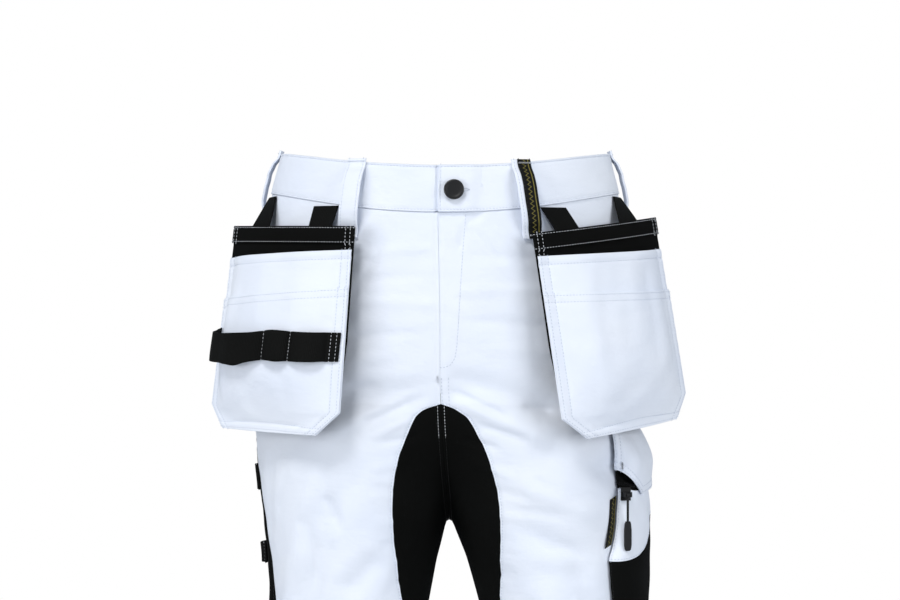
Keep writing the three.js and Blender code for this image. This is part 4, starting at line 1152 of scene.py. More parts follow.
def stitch_tree():
    """Lays a bead of thread at every pitch along the edges of a mesh."""
    tree = bpy.data.node_groups.new("Stitches", "GeometryNodeTree")
    node_tree_sockets(tree, pitch=0.003, stitch=0.0021, width=0.0007, material=None)
    add, link = tree.nodes.new, tree.links.new
    given, out = add("NodeGroupInput"), add("NodeGroupOutput")
    curve, even = add("GeometryNodeMeshToCurve"), add("GeometryNodeResampleCurve")
    even.mode = "LENGTH"
    link(given.outputs["Geometry"], curve.inputs["Mesh"])
    link(curve.outputs["Curve"], even.inputs["Curve"])
    link(given.outputs["Pitch"], even.inputs["Length"])
    bead, put = add("GeometryNodeMeshUVSphere"), add("GeometryNodeInstanceOnPoints")
    bead.inputs["Segments"].default_value = 6
    bead.inputs["Rings"].default_value = 3
    bead.inputs["Radius"].default_value = 0.5
    size, jitter = add("ShaderNodeCombineXYZ"), add("FunctionNodeRandomValue")
    grow = add("ShaderNodeVectorMath")
    jitter.data_type = "FLOAT"
    jitter.inputs[2].default_value, jitter.inputs[3].default_value = 0.88, 1.08
    jitter.inputs["Seed"].default_value = 7
    grow.operation = "SCALE"
    for axis, name in zip("XYZ", ("Stitch", "Width", "Width")):
        link(given.outputs[name], size.inputs[axis])
    link(size.outputs[0], grow.inputs[0])
    link(jitter.outputs[1], grow.inputs["Scale"])
    tangent, turn = add("GeometryNodeInputTangent"), add("FunctionNodeAlignRotationToVector")
    turn.axis = "X"
    link(tangent.outputs[0], turn.inputs["Vector"])
    link(even.outputs["Curve"], put.inputs["Points"])
    link(bead.outputs["Mesh"], put.inputs["Instance"])
    link(turn.outputs[0], put.inputs["Rotation"])
    link(grow.outputs[0], put.inputs["Scale"])
    end_tree(tree, given, out, put.outputs[0])


def thread_tree():
    """Runs a round thread along the edges of a mesh."""
    tree = bpy.data.node_groups.new("Thread", "GeometryNodeTree")
    node_tree_sockets(tree, radius=0.0003, material=None)
    add, link = tree.nodes.new, tree.links.new
    given, out = add("NodeGroupInput"), add("NodeGroupOutput")
    curve, ring = add("GeometryNodeMeshToCurve"), add("GeometryNodeCurvePrimitiveCircle")
    sweep = add("GeometryNodeCurveToMesh")
    ring.inputs["Resolution"].default_value = 6
    sweep.inputs["Fill Caps"].default_value = True
    link(given.outputs["Geometry"], curve.inputs["Mesh"])
    link(given.outputs["Radius"], ring.inputs["Radius"])
    link(curve.outputs["Curve"], sweep.inputs["Curve"])
    link(ring.outputs["Curve"], sweep.inputs["Profile Curve"])
    end_tree(tree, given, out, sweep.outputs["Mesh"])


def along_lines(name, lines, tree_name, material_name, slot, **sizes):
    """A mesh made by one of the trees above along polylines, as a piece of the garment."""
    lines = [np.asarray(line) for line in lines if len(line) > 1]
    vertices, edges, first = np.concatenate(lines) * MM, [], 0
    for line in lines:
        edges += [(first + k, first + k + 1) for k in range(len(line) - 1)]
        first += len(line)
    mesh = bpy.data.meshes.new(name)
    mesh.from_pydata(vertices.tolist(), edges, [])
    source = bpy.data.objects.new(f"{name}_path", mesh)
    bpy.context.scene.collection.objects.link(source)
    tree = bpy.data.node_groups[tree_name]
    modifier = source.modifiers.new(tree_name, "NODES")
    modifier.node_group = tree
    ids = {item.name: item.identifier for item in tree.interface.items_tree if item.in_out == "INPUT"}
    for label, value in sizes.items():
        modifier[ids[label.capitalize()]] = value
    modifier[ids["Material"]] = bpy.data.materials[material_name]
    depsgraph = bpy.context.evaluated_depsgraph_get()
    made = bpy.data.meshes.new_from_object(source.evaluated_get(depsgraph))
    made.name = name
    bpy.data.objects.remove(source)
    made.shade_smooth()
    obj = bpy.data.objects.new(name, made)
    bpy.context.scene.collection.objects.link(obj)
    return finish_piece(obj, slot)


def sew(name, lines, thread, slot):
    """Rows of stitches."""
    settings = bpy.context.scene.trousers_sewing
    sizes = {label: getattr(settings, label) for label in ("pitch", "stitch", "width")}
    return along_lines(name, lines, "Stitches", thread, slot, **sizes)


def tack(name, lines, thread, slot):
    """Dense turns of one thread, pulled a little thinner than in a stitch."""
    radius = bpy.context.scene.trousers_sewing.width * 0.42
    return along_lines(name, lines, "Thread", thread, slot, radius=radius)


# Materials

def shader_group(name, inputs, outputs):
    tree = bpy.data.node_groups.new(name, "ShaderNodeTree")
    for label, kind, value in inputs:
        socket = tree.interface.new_socket(label, in_out="INPUT", socket_type=f"NodeSocket{kind}")
        if kind == "Float":
            socket.default_value = value
    for label in outputs:
        tree.interface.new_socket(label, in_out="OUTPUT", socket_type="NodeSocketFloat")
    return tree, tree.nodes.new("NodeGroupInput"), tree.nodes.new("NodeGroupOutput")


def maths(tree, operation, *values):
    """A chain link of shader maths: each value is a number or another node's output."""
    node = tree.nodes.new("ShaderNodeMath")
    node.operation = operation
    for socket, value in zip(node.inputs, values):
        if isinstance(value, (int, float)):
            socket.default_value = value
        else:
            tree.links.new(value, socket)
    return node.outputs[0]


def weave_group():
    """Threads of a cloth from its own flat map: a slanting twill wale or a plain basket."""
    tree, given, out = shader_group(
        "Weave",
        [
            ("Vector", "Vector", None), ("Pitch", "Float", 0.0007), ("Slant", "Float", 0.8),
            ("Plain", "Float", 0.0),
        ],
        ["Height"],
    )
    split = tree.nodes.new("ShaderNodeSeparateXYZ")
    tree.links.new(given.outputs["Vector"], split.inputs[0])
    u, v = (maths(tree, "DIVIDE", split.outputs[k], given.outputs["Pitch"]) for k in (0, 1))
    slanted = maths(tree, "MULTIPLY_ADD", v, given.outputs["Slant"], u)

    def wave(value):
        return maths(tree, "SINE", maths(tree, "MULTIPLY", value, math.tau))

    wale = maths(tree, "MULTIPLY_ADD", wave(maths(tree, "MULTIPLY", v, 2)), 0.35, wave(slanted))
    basket = maths(tree, "MULTIPLY", wave(u), wave(v))
    mixed = tree.nodes.new("ShaderNodeMix")
    tree.links.new(given.outputs["Plain"], mixed.inputs[0])
    tree.links.new(wale, mixed.inputs[2])
    tree.links.new(basket, mixed.inputs[3])
    tree.links.new(maths(tree, "MULTIPLY_ADD", mixed.outputs[0], 0.37, 0.5), out.inputs["Height"])


def crumple_group():
    """Soft crumples of a worn cloth and the slow change of its tone."""
    tree, given, out = shader_group(
        "Crumple", [("Vector", "Vector", None), ("Scale", "Float", 34.0)], ["Height", "Tone"]
    )
    stretch = tree.nodes.new("ShaderNodeVectorMath")
    stretch.operation = "MULTIPLY"
    stretch.inputs[1].default_value = (1, 1, 1.7)
    tree.links.new(given.outputs["Vector"], stretch.inputs[0])
    fine, slow = tree.nodes.new("ShaderNodeTexNoise"), tree.nodes.new("ShaderNodeTexNoise")
    for noise, detail in ((fine, 4.0), (slow, 2.0)):
        noise.inputs["Detail"].default_value = detail
        tree.links.new(stretch.outputs[0], noise.inputs["Vector"])
    tree.links.new(given.outputs["Scale"], fine.inputs["Scale"])
    slow.inputs["Scale"].default_value = 9
    tree.links.new(fine.outputs["Fac"], out.inputs["Height"])
    tree.links.new(maths(tree, "MULTIPLY_ADD", slow.outputs["Fac"], 1.6, -0.3), out.inputs["Tone"])


def zigzag_group():
    """A woven zigzag down a tape and a thin line beside it, from the tape's flat map."""
    tree, given, out = shader_group(
        "Zigzag",
        [
            ("Vector", "Vector", None), ("Period", "Float", 0.0044), ("Reach", "Float", 0.0016),
            ("Line", "Float", 0.0004), ("Side", "Float", 0.0034),
        ],
        ["Mask"],
    )
    split = tree.nodes.new("ShaderNodeSeparateXYZ")
    tree.links.new(given.outputs["Vector"], split.inputs[0])
    turns = maths(tree, "DIVIDE", split.outputs[1], given.outputs["Period"])
    swing = maths(tree, "PINGPONG", turns, 0.5)
    path = maths(tree, "MULTIPLY", maths(tree, "MULTIPLY_ADD", swing, 4, -1), given.outputs["Reach"])
    places = [maths(tree, "ADD", path, -0.0008), given.outputs["Side"]]
    off = [maths(tree, "ABSOLUTE", maths(tree, "SUBTRACT", split.outputs[0], place)) for place in places]
    nearest = maths(tree, "MINIMUM", off[0], off[1])
    tree.links.new(maths(tree, "LESS_THAN", nearest, given.outputs["Line"]), out.inputs["Mask"])


def principled(name, colour, roughness, sheen=0.0, specular=0.5):
    material = bpy.data.materials.new(name)
    material.use_nodes = True
    shader = material.node_tree.nodes["Principled BSDF"]
    shader.inputs["Base Color"].default_value = (*colour, 1)
    shader.inputs["Roughness"].default_value = roughness
    shader.inputs["Sheen Weight"].default_value = sheen
    shader.inputs["Specular IOR Level"].default_value = specular
    return material, material.node_tree, shader


def group_node(tree, name, vector, **values):
    node = tree.nodes.new("ShaderNodeGroup")
    node.node_tree = bpy.data.node_groups[name]
    tree.links.new(vector, node.inputs["Vector"])
    for label, value in values.items():
        node.inputs[label].default_value = value
    return node


def blend_colours(tree, mask, first, second):
    node = tree.nodes.new("ShaderNodeMix")
    node.data_type = "RGBA"
    tree.links.new(mask, node.inputs[0])
    for socket, colour in ((node.inputs[6], first), (node.inputs[7], second)):
        if isinstance(colour, tuple):
            socket.default_value = (*colour, 1)
        else:
            tree.links.new(colour, socket)
    return node.outputs[2]


def cloth_material(
    name, colour, shade, pitch, slant=0.8, plain=0.0, depth=0.00008, crumple=0.0004, scale=34, **finish
):
    """Woven cloth: colour on its threads and painted shade between them, the shade colour also in slow random
    patches of tone, weave and crumples in its bump.
    """
    material, tree, shader = principled(name, colour, **finish)
    flat, place = tree.nodes.new("ShaderNodeUVMap"), tree.nodes.new("ShaderNodeTexCoord")
    flat.uv_map = "cloth"
    weave = group_node(tree, "Weave", flat.outputs[0], Pitch=pitch, Slant=slant, Plain=plain)
    worn = group_node(tree, "Crumple", place.outputs["Object"], Scale=scale)
    tone = blend_colours(tree, worn.outputs["Tone"], shade, tuple(colour))
    # Painted shade: the low parts of the weave take the shade colour.
    threads = maths(tree, "MULTIPLY_ADD", weave.outputs["Height"], 0.5, 0.5)
    tree.links.new(blend_colours(tree, threads, shade, tone), shader.inputs["Base Color"])
    soft, fine = tree.nodes.new("ShaderNodeBump"), tree.nodes.new("ShaderNodeBump")
    soft.inputs["Distance"].default_value = crumple
    fine.inputs["Distance"].default_value = depth
    tree.links.new(worn.outputs["Height"], soft.inputs["Height"])
    tree.links.new(weave.outputs["Height"], fine.inputs["Height"])
    tree.links.new(soft.outputs[0], fine.inputs["Normal"])
    tree.links.new(fine.outputs[0], shader.inputs["Normal"])
    return material


def moulded_material(name, colour, grain, **finish):
    """Moulded or wound plastic with a fine grain and slightly uneven gloss."""
    _, tree, shader = principled(name, colour, **finish)
    place, bump = tree.nodes.new("ShaderNodeTexCoord"), tree.nodes.new("ShaderNodeBump")
    worn = group_node(tree, "Crumple", place.outputs["Object"], Scale=grain)
    bump.inputs["Distance"].default_value = 0.00005
    tree.links.new(worn.outputs["Height"], bump.inputs["Height"])
    tree.links.new(bump.outputs[0], shader.inputs["Normal"])
    gloss = maths(tree, "MULTIPLY_ADD", worn.outputs["Tone"], 0.15, finish["roughness"] - 0.05)
    tree.links.new(gloss, shader.inputs["Roughness"])


def tape_material(name, colour, line, **finish):
    """Plain woven tape with a zigzag, and painted shade between its threads."""
    material = cloth_material(name, colour, tuple(c * 0.6 for c in colour), 0.0006, plain=1.0, **finish)
    tree = material.node_tree
    shader = tree.nodes["Principled BSDF"]
    base = shader.inputs["Base Color"].links[0].from_socket
    flat = next(node for node in tree.nodes if node.type == "UVMAP")
    zigzag = group_node(tree, "Zigzag", flat.outputs[0])
    tree.links.new(blend_colours(tree, zigzag.outputs["Mask"], base, line), shader.inputs["Base Color"])


# Settings shown in the sidebar

def colour_setting(name, description, default):
    return FloatVectorProperty(
        name=name, description=description, subtype="COLOR", default=default, min=0, max=1
    )


def length_setting(name, description, default, least, most):
    return FloatProperty(
        name=name, description=description, unit="LENGTH", default=default, min=least, max=most
    )


class ClothSettings(bpy.types.PropertyGroup):
    white: colour_setting("White twill", "Colour of the main cloth", (0.84, 0.87, 0.93))
    # Painted shade: the darker colour laid between the threads of the main cloth, also blended in slow random
    # patches of tone.
    white_shade: colour_setting(
        "White shade", "Colour between the threads of the main cloth", (0.74, 0.79, 0.90)
    )
    black: colour_setting("Black cloth", "Colour of the pockets, straps and gusset", (0.0055, 0.0058, 0.0055))
    tape_line: colour_setting("Tape line", "Colour of the zigzag woven in the tapes", (0.20, 0.17, 0.045))
    twill_pitch: length_setting(
        "Twill pitch", "Distance between the wales of the white twill", 0.0009, 0.0003, 0.004
    )


class SewingSettings(bpy.types.PropertyGroup):
    pitch: length_setting("Stitch pitch", "From one stitch to the next", 0.003, 0.0015, 0.01)
    stitch: length_setting("Stitch length", "Length of the thread seen in a stitch", 0.0022, 0.001, 0.008)
    width: length_setting("Thread width", "Width of the sewing thread", 0.0006, 0.0003, 0.002)


class StageSettings(bpy.types.PropertyGroup):
    distance: length_setting("Camera distance", "From the camera to the side seams", 2.2, 0.5, 10)
    lens: FloatProperty(
        name="Lens", description="Focal length of the camera", unit="CAMERA", default=92.63, min=20, max=300
    )
    light: FloatProperty(
        name="Light", description="Strength of all the studio lights", subtype="FACTOR", default=1.0,
        min=0.1, max=4,
    )


# Operators, one for each piece or group of like pieces

BLACK_CLOTHS = table(
    "name pitch slant plain depth crumple scale roughness specular",
    [
        ("Black cordura", 0.0011, 0.8, 1.0, 0.0002, 0.0005, 42, 0.8, 0.05),
        ("Black stretch", 0.0008, 0.0, 0.0, 0.0001, 0.0004, 34, 0.9, 0.05),
        ("Black webbing", 0.0016, 0.0, 0.0, 0.0003, 0.0002, 34, 0.7, 0.08),
    ],
)
MOULDED = table(
    "name colour grain roughness specular",
    [
        # The white thread is coloured a darker grey-blue than white: painted shade on its stitches.
        ("White thread", (0.56, 0.61, 0.71), 900, 0.7, 0.3),
        ("Contrast thread", (0.62, 0.64, 0.68), 900, 0.65, 0.3),
        ("Black thread", (0.014, 0.014, 0.015), 900, 0.6, 0.3),
        ("Button plastic", (0.006, 0.006, 0.007), 140, 0.34, 0.5),
        ("Zip plastic", (0.005, 0.005, 0.006), 220, 0.42, 0.25),
        ("Pull rubber", (0.007, 0.007, 0.008), 260, 0.5, 0.25),
    ],
)


class GARMENT_OT_materials(bpy.types.Operator):
    """Makes the cloths, threads and plastics, and the trees that lay stitches"""
    bl_idname = "garment.materials"
    bl_label = "Materials"

    def execute(self, context):
        cloth = context.scene.trousers_cloth
        for make in (weave_group, crumple_group, zigzag_group, stitch_tree, thread_tree):
            make()
        white, shade, black = (tuple(c) for c in (cloth.white, cloth.white_shade, cloth.black))
        cloth_material(
            "White twill", white, shade, cloth.twill_pitch, crumple=0.0016, scale=30,
            roughness=0.85, sheen=0.1, specular=0.2,
        )
        for row in BLACK_CLOTHS:
            # Painted shade between the threads of the black cloths: their own black at 0.45.
            cloth_material(colour=black, shade=tuple(c * 0.45 for c in black), **row)
        tape_material("Black tape", black, tuple(cloth.tape_line), roughness=0.6, specular=0.12)
        for row in MOULDED:
            moulded_material(**row)
        return {"FINISHED"}


FLY_ROWS, FLY_FOOT, FLY_TACK = (1.2, 7.5), 0.86, (-7.5, -112.0, -171.0)


class GARMENT_OT_leg_panels(bpy.types.Operator):
    """Front and back leg panels with their felled seams, fly stitching and turned hems"""
    bl_idname = "garment.leg_panels"
    bl_label = "Leg panels"

    def execute(self, context):
        for side, name in LEG_NAME.items():
            for place, make in (("front", self.front), ("back", self.back)):
                grid, lines = make(side)
                cloth_piece(
                    f"{place}_panel_{name}", turned_hem(grid), "white_twill", [f"{place}_{name}"],
                    thickness=BODY_CLOTH, one_layer=True,
                )
                sew(f"{place}_panel_stitches_{name}", lines, "White thread", "white_twill")
        return {"FINISHED"}

    def front(self, side):
        grid = relief(panel_grid(side, False), rows_on(EDGE_ROW, "start") + rows_on(HEM_ROW, "bottom"))
        above = ROWS_ABOVE / len(grid[0])
        lines = seam_lines(grid, rows_on(HEM_ROW, "bottom"))
        lines += seam_lines(grid, rows_on(EDGE_ROW, "start"), start=above + 0.004)
        if side > 0:
            lines.append(fly_stitch(grid))
            lines += seam_lines(grid, rows_on(FLY_ROWS, "start"), start=FLY_FOOT * above, end=above)
            middle = settle(np.array([FLY_TACK]), grid)[0]
            knot = bartack(middle, np.array((0.0, 0, 1)), np.array((0.0, -1, 0)), length=6)
            tack("fly_bartack", [knot], "Contrast thread", "white_twill")
        return grid, lines

    def back(self, side):
        seams = rows_on(HEM_ROW, "bottom") + rows_on(FELLED_ROWS, "start", "end")
        grid = relief(panel_grid(side, True), seams)
        return grid, seam_lines(grid, seams)


# Past its front stretch, where the gusset turns under the fork, the row is drawn in black thread as painted
# shade: the white contrast thread lies in shadow there.
GUSSET_SEWING = (
    ("gusset_front_stitches", "Contrast thread", 0.02, 0.17),
    ("gusset_stitches_in_painted_shade", "Black thread", 0.17, 0.98),
)


class GARMENT_OT_gusset(bpy.types.Operator):
    """The stretch gusset under the fork, with the double line of its middle seam"""
    bl_idname = "garment.gusset"
    bl_label = "Fork gusset"

    def execute(self, context):
        for side, name in LEG_NAME.items():
            grid = relief(gusset_grid(side), rows_on(GUSSET_ROW, "top") + rows_on((1.5,), "start", "end"))
            cloth_piece(
                f"gusset_cloth_{name}", grid, "stretch", [f"gusset_{name}"],
                thickness=BODY_CLOTH, one_layer=True,
            )
            for seam, thread, start, end in GUSSET_SEWING:
                lines = seam_lines(grid, rows_on(GUSSET_ROW, "top"), start=start, end=end, lift=0.2)
                sew(f"{seam}_{name}", lines, thread, "stretch")
        return {"FINISHED"}


BUTTONHOLE = {"past_button": 4.5, "half": 8.2, "eye": 0.8, "thread": (1.9, 1.0), "turns": 32}


class GARMENT_OT_waistband(bpy.types.Operator):
    """Both halves of the doubled waistband, lapped at the closing, with the buttonhole"""
    bl_idname = "garment.waistband"
    bl_label = "Waistband"

    def execute(self, context):
        for side, name in LEG_NAME.items():
            seams = rows_on(BAND_ROW, "top", "bottom", *(["start"] if side > 0 else []))
            grid = relief(waistband_grid(side), seams)
            cloth_piece(
                f"waistband_cloth_{name}", grid, "white_twill", [f"waistband_{name}"],
                thickness=BAND_CLOTH, rounded=1.1,
            )
            sew(f"waistband_stitches_{name}", seam_lines(grid, seams), "White thread", "white_twill")
            if side > 0:
                self.buttonhole(grid)
        return {"FINISHED"}

    def buttonhole(self, grid):
        turn = np.linspace(0, math.tau, 2 * BUTTONHOLE["turns"] + 1)
        wide = np.where(np.arange(len(turn)) % 2, BUTTONHOLE["thread"][1], BUTTONHOLE["thread"][0])
        z = BUTTON["z"] + wide * np.sin(turn)
        across = BUTTON["across"] + BUTTONHOLE["past_button"]
        across += (BUTTONHOLE["half"] + BUTTONHOLE["eye"] * wide) * np.cos(turn)
        line = dress(1, skin_point(angle_across(across, z, False), z), CLOSING["lap_proud"])[0]
        tack("buttonhole_thread", [settle(line, grid, lift=0.1)], "White thread", "white_twill")


class GARMENT_OT_belt_loops(bpy.types.Operator):
    """The five belt loops with their edge stitching and bartacks, and the tape on one of them"""
    bl_idname = "garment.belt_loops"
    bl_label = "Belt loops"

    def execute(self, context):
        white = []
        for loop in LOOPS:
            seams = rows_on(BAND_ROW, "start", "end")
            grid = relief(loop_grid(loop), seams)
            cloth_piece(
                f"{loop['name']}_cloth", grid, "white_twill", [loop["name"]],
                thickness=LOOP["cloth"], rounded=0.7,
            )
            white += seam_lines(grid, seams)
            if loop["name"] == LOOP_TAPE["on"]:
                self.tape(loop)
            else:
                white += self.end_tacks(grid, LOOP["width"] - 2)
        sew("belt_loop_stitches", white, "White thread", "white_twill")
        return {"FINISHED"}

    def tape(self, loop):
        width, cloth = LOOP_TAPE["width"], LOOP_TAPE["cloth"]
        grid = loop_grid(loop, cloth + SEAM_GAP, LOOP_TAPE["offset"], width)
        cloth_piece(
            "belt_loop_tape", grid, "tape", ["loop_tape"], thickness=cloth,
            rounded=0.35,
        )
        lines = seam_lines(grid, rows_on((0.9,), "start", "end"))
        sew("belt_loop_tape_stitches", lines, "Black thread", "tape")
        tack("belt_loop_tape_tacks", self.end_tacks(grid, width - 1.5), "Contrast thread", "tape")

    def end_tacks(self, grid, width):
        points, normals = grid
        middle = points.shape[1] // 2
        return [
            bartack(points[k, middle], unit(points[k, -1] - points[k, 0]), normals[k, middle], width, 1.4, 13)
            for k in (2, len(points) - 3)
        ]


# Outline of the button from the middle of its back to the middle of its dished face: radius and height
BUTTON_PROFILE = (
    (0, 0), (0.35, 0), (0.35, 0.4), (0.88, 0.4), (0.95, 0.44), (0.99, 0.56), (1.0, 0.7), (0.985, 0.84),
    (0.94, 0.95), (0.87, 1.0), (0.78, 0.985), (0.7, 0.93), (0.6, 0.89), (0.3, 0.87), (0, 0.865),
)


class GARMENT_OT_button(bpy.types.Operator):
    """The waist button: a dished disc with a rounded rim on a short shank"""
    bl_idname = "garment.button"
    bl_label = "Button"

    def execute(self, context):
        r, h = (np.array(values) for values in zip(*BUTTON_PROFILE))
        r, h = r * BUTTON["radius"], h * BUTTON["thick"]
        turn = np.linspace(0, math.tau, 73)[:, None]
        disc = point(r * np.cos(turn), r * np.sin(turn), h)
        angle = angle_across(BUTTON["across"], BUTTON["z"], False)
        seat, n = dress(1, skin_point(angle, BUTTON["z"]), CLOSING["lap_proud"] + SEAM_GAP)
        across = unit(np.cross((0, 0, 1), n))
        placed = seat + disc[..., :1] * across + disc[..., 1:2] * np.cross(n, across) + disc[..., 2:] * n
        faces, material = faces_of_grid(*placed.shape[:2]), bpy.data.materials["Button plastic"]
        flat = disc[..., :2].reshape(-1, 2)
        obj = new_mesh_object("button_disc", placed.reshape(-1, 3), faces, flat, material, sharp=60)
        merge_doubles(obj)
        finish_piece(obj, "button", "waist_button")
        return {"FINISHED"}


class GARMENT_OT_holsters(bpy.types.Operator):
    """The two hanging holster pockets: straps, back, binding, pouch and outer pocket"""
    bl_idname = "garment.holsters"
    bl_label = "Holster pockets"

    def execute(self, context):
        for name, holster in HOLSTERS.items():
            self.black_layers(name, holster)
            self.pouches(name, holster)
        return {"FINISHED"}

    def black_layers(self, name, holster):
        height, binding, hidden = HOLSTER["height"], HOLSTER["binding"], HOLSTER["hidden"]
        knee = height - HOLSTER["chamfer_down"]
        downs = np.concatenate([np.linspace(0, knee, 40), np.linspace(knee, height - hidden, 9)[1:]])
        cloth_piece(
            f"holster_back_cloth_{name}", holster_layer(holster, downs, 0.0, hidden), "cordura",
            [f"holster_back_{name}"], rounded=0.6,
        )
        seams = rows_on(BINDING_ROW, "top", "bottom")
        grid = relief(holster_layer(holster, np.linspace(-1, binding, 17), LAYER), seams)
        cloth_piece(
            f"holster_binding_cloth_{name}", grid, "cordura", [f"holster_binding_{name}"],
            rounded=0.7,
        )
        lines = seam_lines(grid, seams + rows_on(HOLSTER_ROWS, "start", "end"), lift=0.2)
        below = holster_layer(holster, np.linspace(binding + 1, HOLSTER["mouth"][1] + 2, 9), LAYER)
        lines += seam_lines(below, rows_on(HOLSTER_ROWS, "start"), lift=-1.4)
        sew(f"holster_binding_stitches_{name}", lines, "Contrast thread", "cordura")
        for index, place in enumerate(("inner", "outer")):
            cloth_piece(
                f"holster_strap_{place}_webbing_{name}", holster_strap_grid(holster, index), "webbing",
                [f"holster_strap_{place}_{name}"], thickness=WEBBING, rounded=0.5,
            )

    def pouches(self, name, holster):
        points, normals = pouch_grid(holster)
        sides = rows_on(POUCH_ROWS, "start", "end")
        pouch = relief((points, normals), sides + rows_on((8.0,), "top"))
        cloth_piece(
            f"holster_pouch_cloth_{name}", pouch, "white_twill", [f"holster_pouch_{name}"],
            rounded=0.7,
        )
        lines = seam_lines(pouch, rows_on((8.0,), "top"))
        lines += seam_lines(pouch, sides, end=MOUTH_ROWS / len(points))
        points, normals = points[MOUTH_ROWS:] + normals[MOUTH_ROWS:] * LAYER, normals[MOUTH_ROWS:]
        seams = rows_on(POUCH_ROWS, "start", "end", "bottom") + rows_on((1.8, 8.0), "top")
        outer = relief((points, grid_normals(points, normals)), seams)
        cloth_piece(
            f"holster_outer_pocket_cloth_{name}", outer, "white_twill", [f"holster_outer_pocket_{name}"],
            rounded=0.7,
        )
        sew(f"holster_stitches_{name}", lines + seam_lines(outer, seams), "White thread", "white_twill")


class GARMENT_OT_tool_band(bpy.types.Operator):
    """The elastic tool band across the right holster, sewn down between its loops"""
    bl_idname = "garment.tool_band"
    bl_label = "Tool band"

    def execute(self, context):
        grid = tool_band_grid(HOLSTERS["right"])
        cloth_piece(
            "tool_band_elastic", grid, "webbing", ["tool_band_right"],
            thickness=WEBBING, rounded=0.5,
        )
        along = lengths(grid[0], 1).mean(0)
        rows = (*ELASTIC["end_rows"], along[2 * ARCH_STEPS], along[3 * ARCH_STEPS])
        lines = seam_lines(grid, rows_on(rows, "start"), lift=0.25)
        sew("tool_band_stitches", lines, "Contrast thread", "webbing")
        return {"FINISHED"}


COIL = {"rows": (3.5, 5.3), "pitch": 0.0015, "stitch": 0.0011, "width": 0.0019}


class GARMENT_OT_thigh_pocket(bpy.types.Operator):
    """The thigh pocket on the left leg: white upper part, hard-wearing base, flap, zip and tag"""
    bl_idname = "garment.thigh_pocket"
    bl_label = "Thigh pocket"

    def execute(self, context):
        u = spread(81, 0.8)
        mouth, split, ends = thigh_edge("mouth", u), thigh_edge("split", u), ("start", "end")
        self.part("thigh_pocket", "upper", thigh_part(mouth, split, 41), rows_on(EDGE_ROW, *ends, "bottom"))
        self.part(
            "thigh_pocket_base", "base", thigh_part(split, THIGH["bottom"], 71),
            rows_on(EDGE_ROW, *ends) + rows_on(TWIN_ROWS, "bottom"), "cordura", "Black thread",
        )
        points, normals = self.part(
            "thigh_flap", "flap", thigh_flap_grid(),
            rows_on(TWIN_ROWS, *ends) + rows_on((2.0, 7.5), "bottom") + rows_on(EDGE_ROW, "top"), rounded=0.7,
        )
        corner = bartack(points[-1, 4] + point(0, 0, 6.0), np.array((0.0, 0, 1)), normals[-1, 4], length=6)
        tack("flap_bartack", [corner], "Black thread", "white_twill")
        zipped = thigh_zip_grid()
        cloth_piece("thigh_zip_tape", zipped, "zip", ["thigh_zip"], rounded=0.4)
        coil = seam_lines(zipped, rows_on(COIL["rows"], "bottom"), lift=0.4)
        sizes = {name: COIL[name] for name in ("pitch", "stitch", "width")}
        along_lines("zip_coil", coil, "Stitches", "Zip plastic", "zip", **sizes)
        cloth_piece(
            "side_tag_tape", side_tag_grid(), "tape", ["side_tag"],
            thickness=TAG["cloth"], rounded=0.35,
        )
        return {"FINISHED"}

    def part(self, name, seam, grid, seams, slot="white_twill", thread="White thread", rounded=0.6):
        grid = relief(grid, seams)
        cloth_piece(f"{name}_cloth", grid, slot, [f"{name}_left"], rounded=rounded)
        sew(f"thigh_{seam}_stitches", seam_lines(grid, seams), thread, slot)
        return grid


class GARMENT_OT_rule_pocket(bpy.types.Operator):
    """The rule pocket on the right leg with its two webbing loops"""
    bl_idname = "garment.rule_pocket"
    bl_label = "Rule pocket"

    def execute(self, context):
        seams = rows_on(TWIN_ROWS, "start", "end", "bottom") + rows_on((8.0,), "top")
        grid = relief(rule_pocket_grid(), seams)
        cloth_piece(
            "rule_pocket_cloth", grid, "cordura", ["rule_pocket_right"],
            rounded=0.6,
        )
        sew("rule_pocket_stitches", seam_lines(grid, seams), "Black thread", "cordura")
        for loop in RULE_LOOPS:
            name, grid = loop["name"], rule_loop_grid(loop)
            cloth_piece(
                f"{name}_webbing", grid, "webbing", [name], thickness=WEBBING,
                rounded=0.4,
            )
            lines = seam_lines(grid, rows_on((3.0,), "start", "end"), lift=0.2)
            sew(f"{name}_stitches", lines, "Contrast thread", "webbing")
        return {"FINISHED"}


class GARMENT_OT_zip_parts(bpy.types.Operator):
    """The finishes of the zip's slider and its pull"""
    bl_idname = "garment.zip_parts"
    bl_label = "Zip slider and pull"

    def execute(self, context):
        for name, finish in (("zip_slider", "Zip plastic"), ("zip_pull", "Pull rubber")):
            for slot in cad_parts[name].material_slots:
                slot.material = bpy.data.materials[finish]
        return {"FINISHED"}


FLOOR = {"z": -1.06, "radius": 2.6, "colour": (0.72, 0.74, 0.77)}
CAMERA = {"x": 0.0038, "z": -0.1, "sensor": 36}
SKY = {"colour": (0.86, 0.93, 1.0, 1), "strength": 0.34}
LAMPS_AIM = (0.0, 0.0, -0.35)
LAMPS = table(
    "name place size power colour",
    [
        ("key", (-1.0, -2.3, 2.6), 0.9, 60, (1.0, 0.99, 0.97)),
        ("right", (2.9, -2.2, 0.4), 1.8, 58, (0.98, 0.99, 1.0)),
        ("left", (-2.9, -2.3, 0.1), 1.8, 52, (0.98, 0.99, 1.0)),
    ],
)


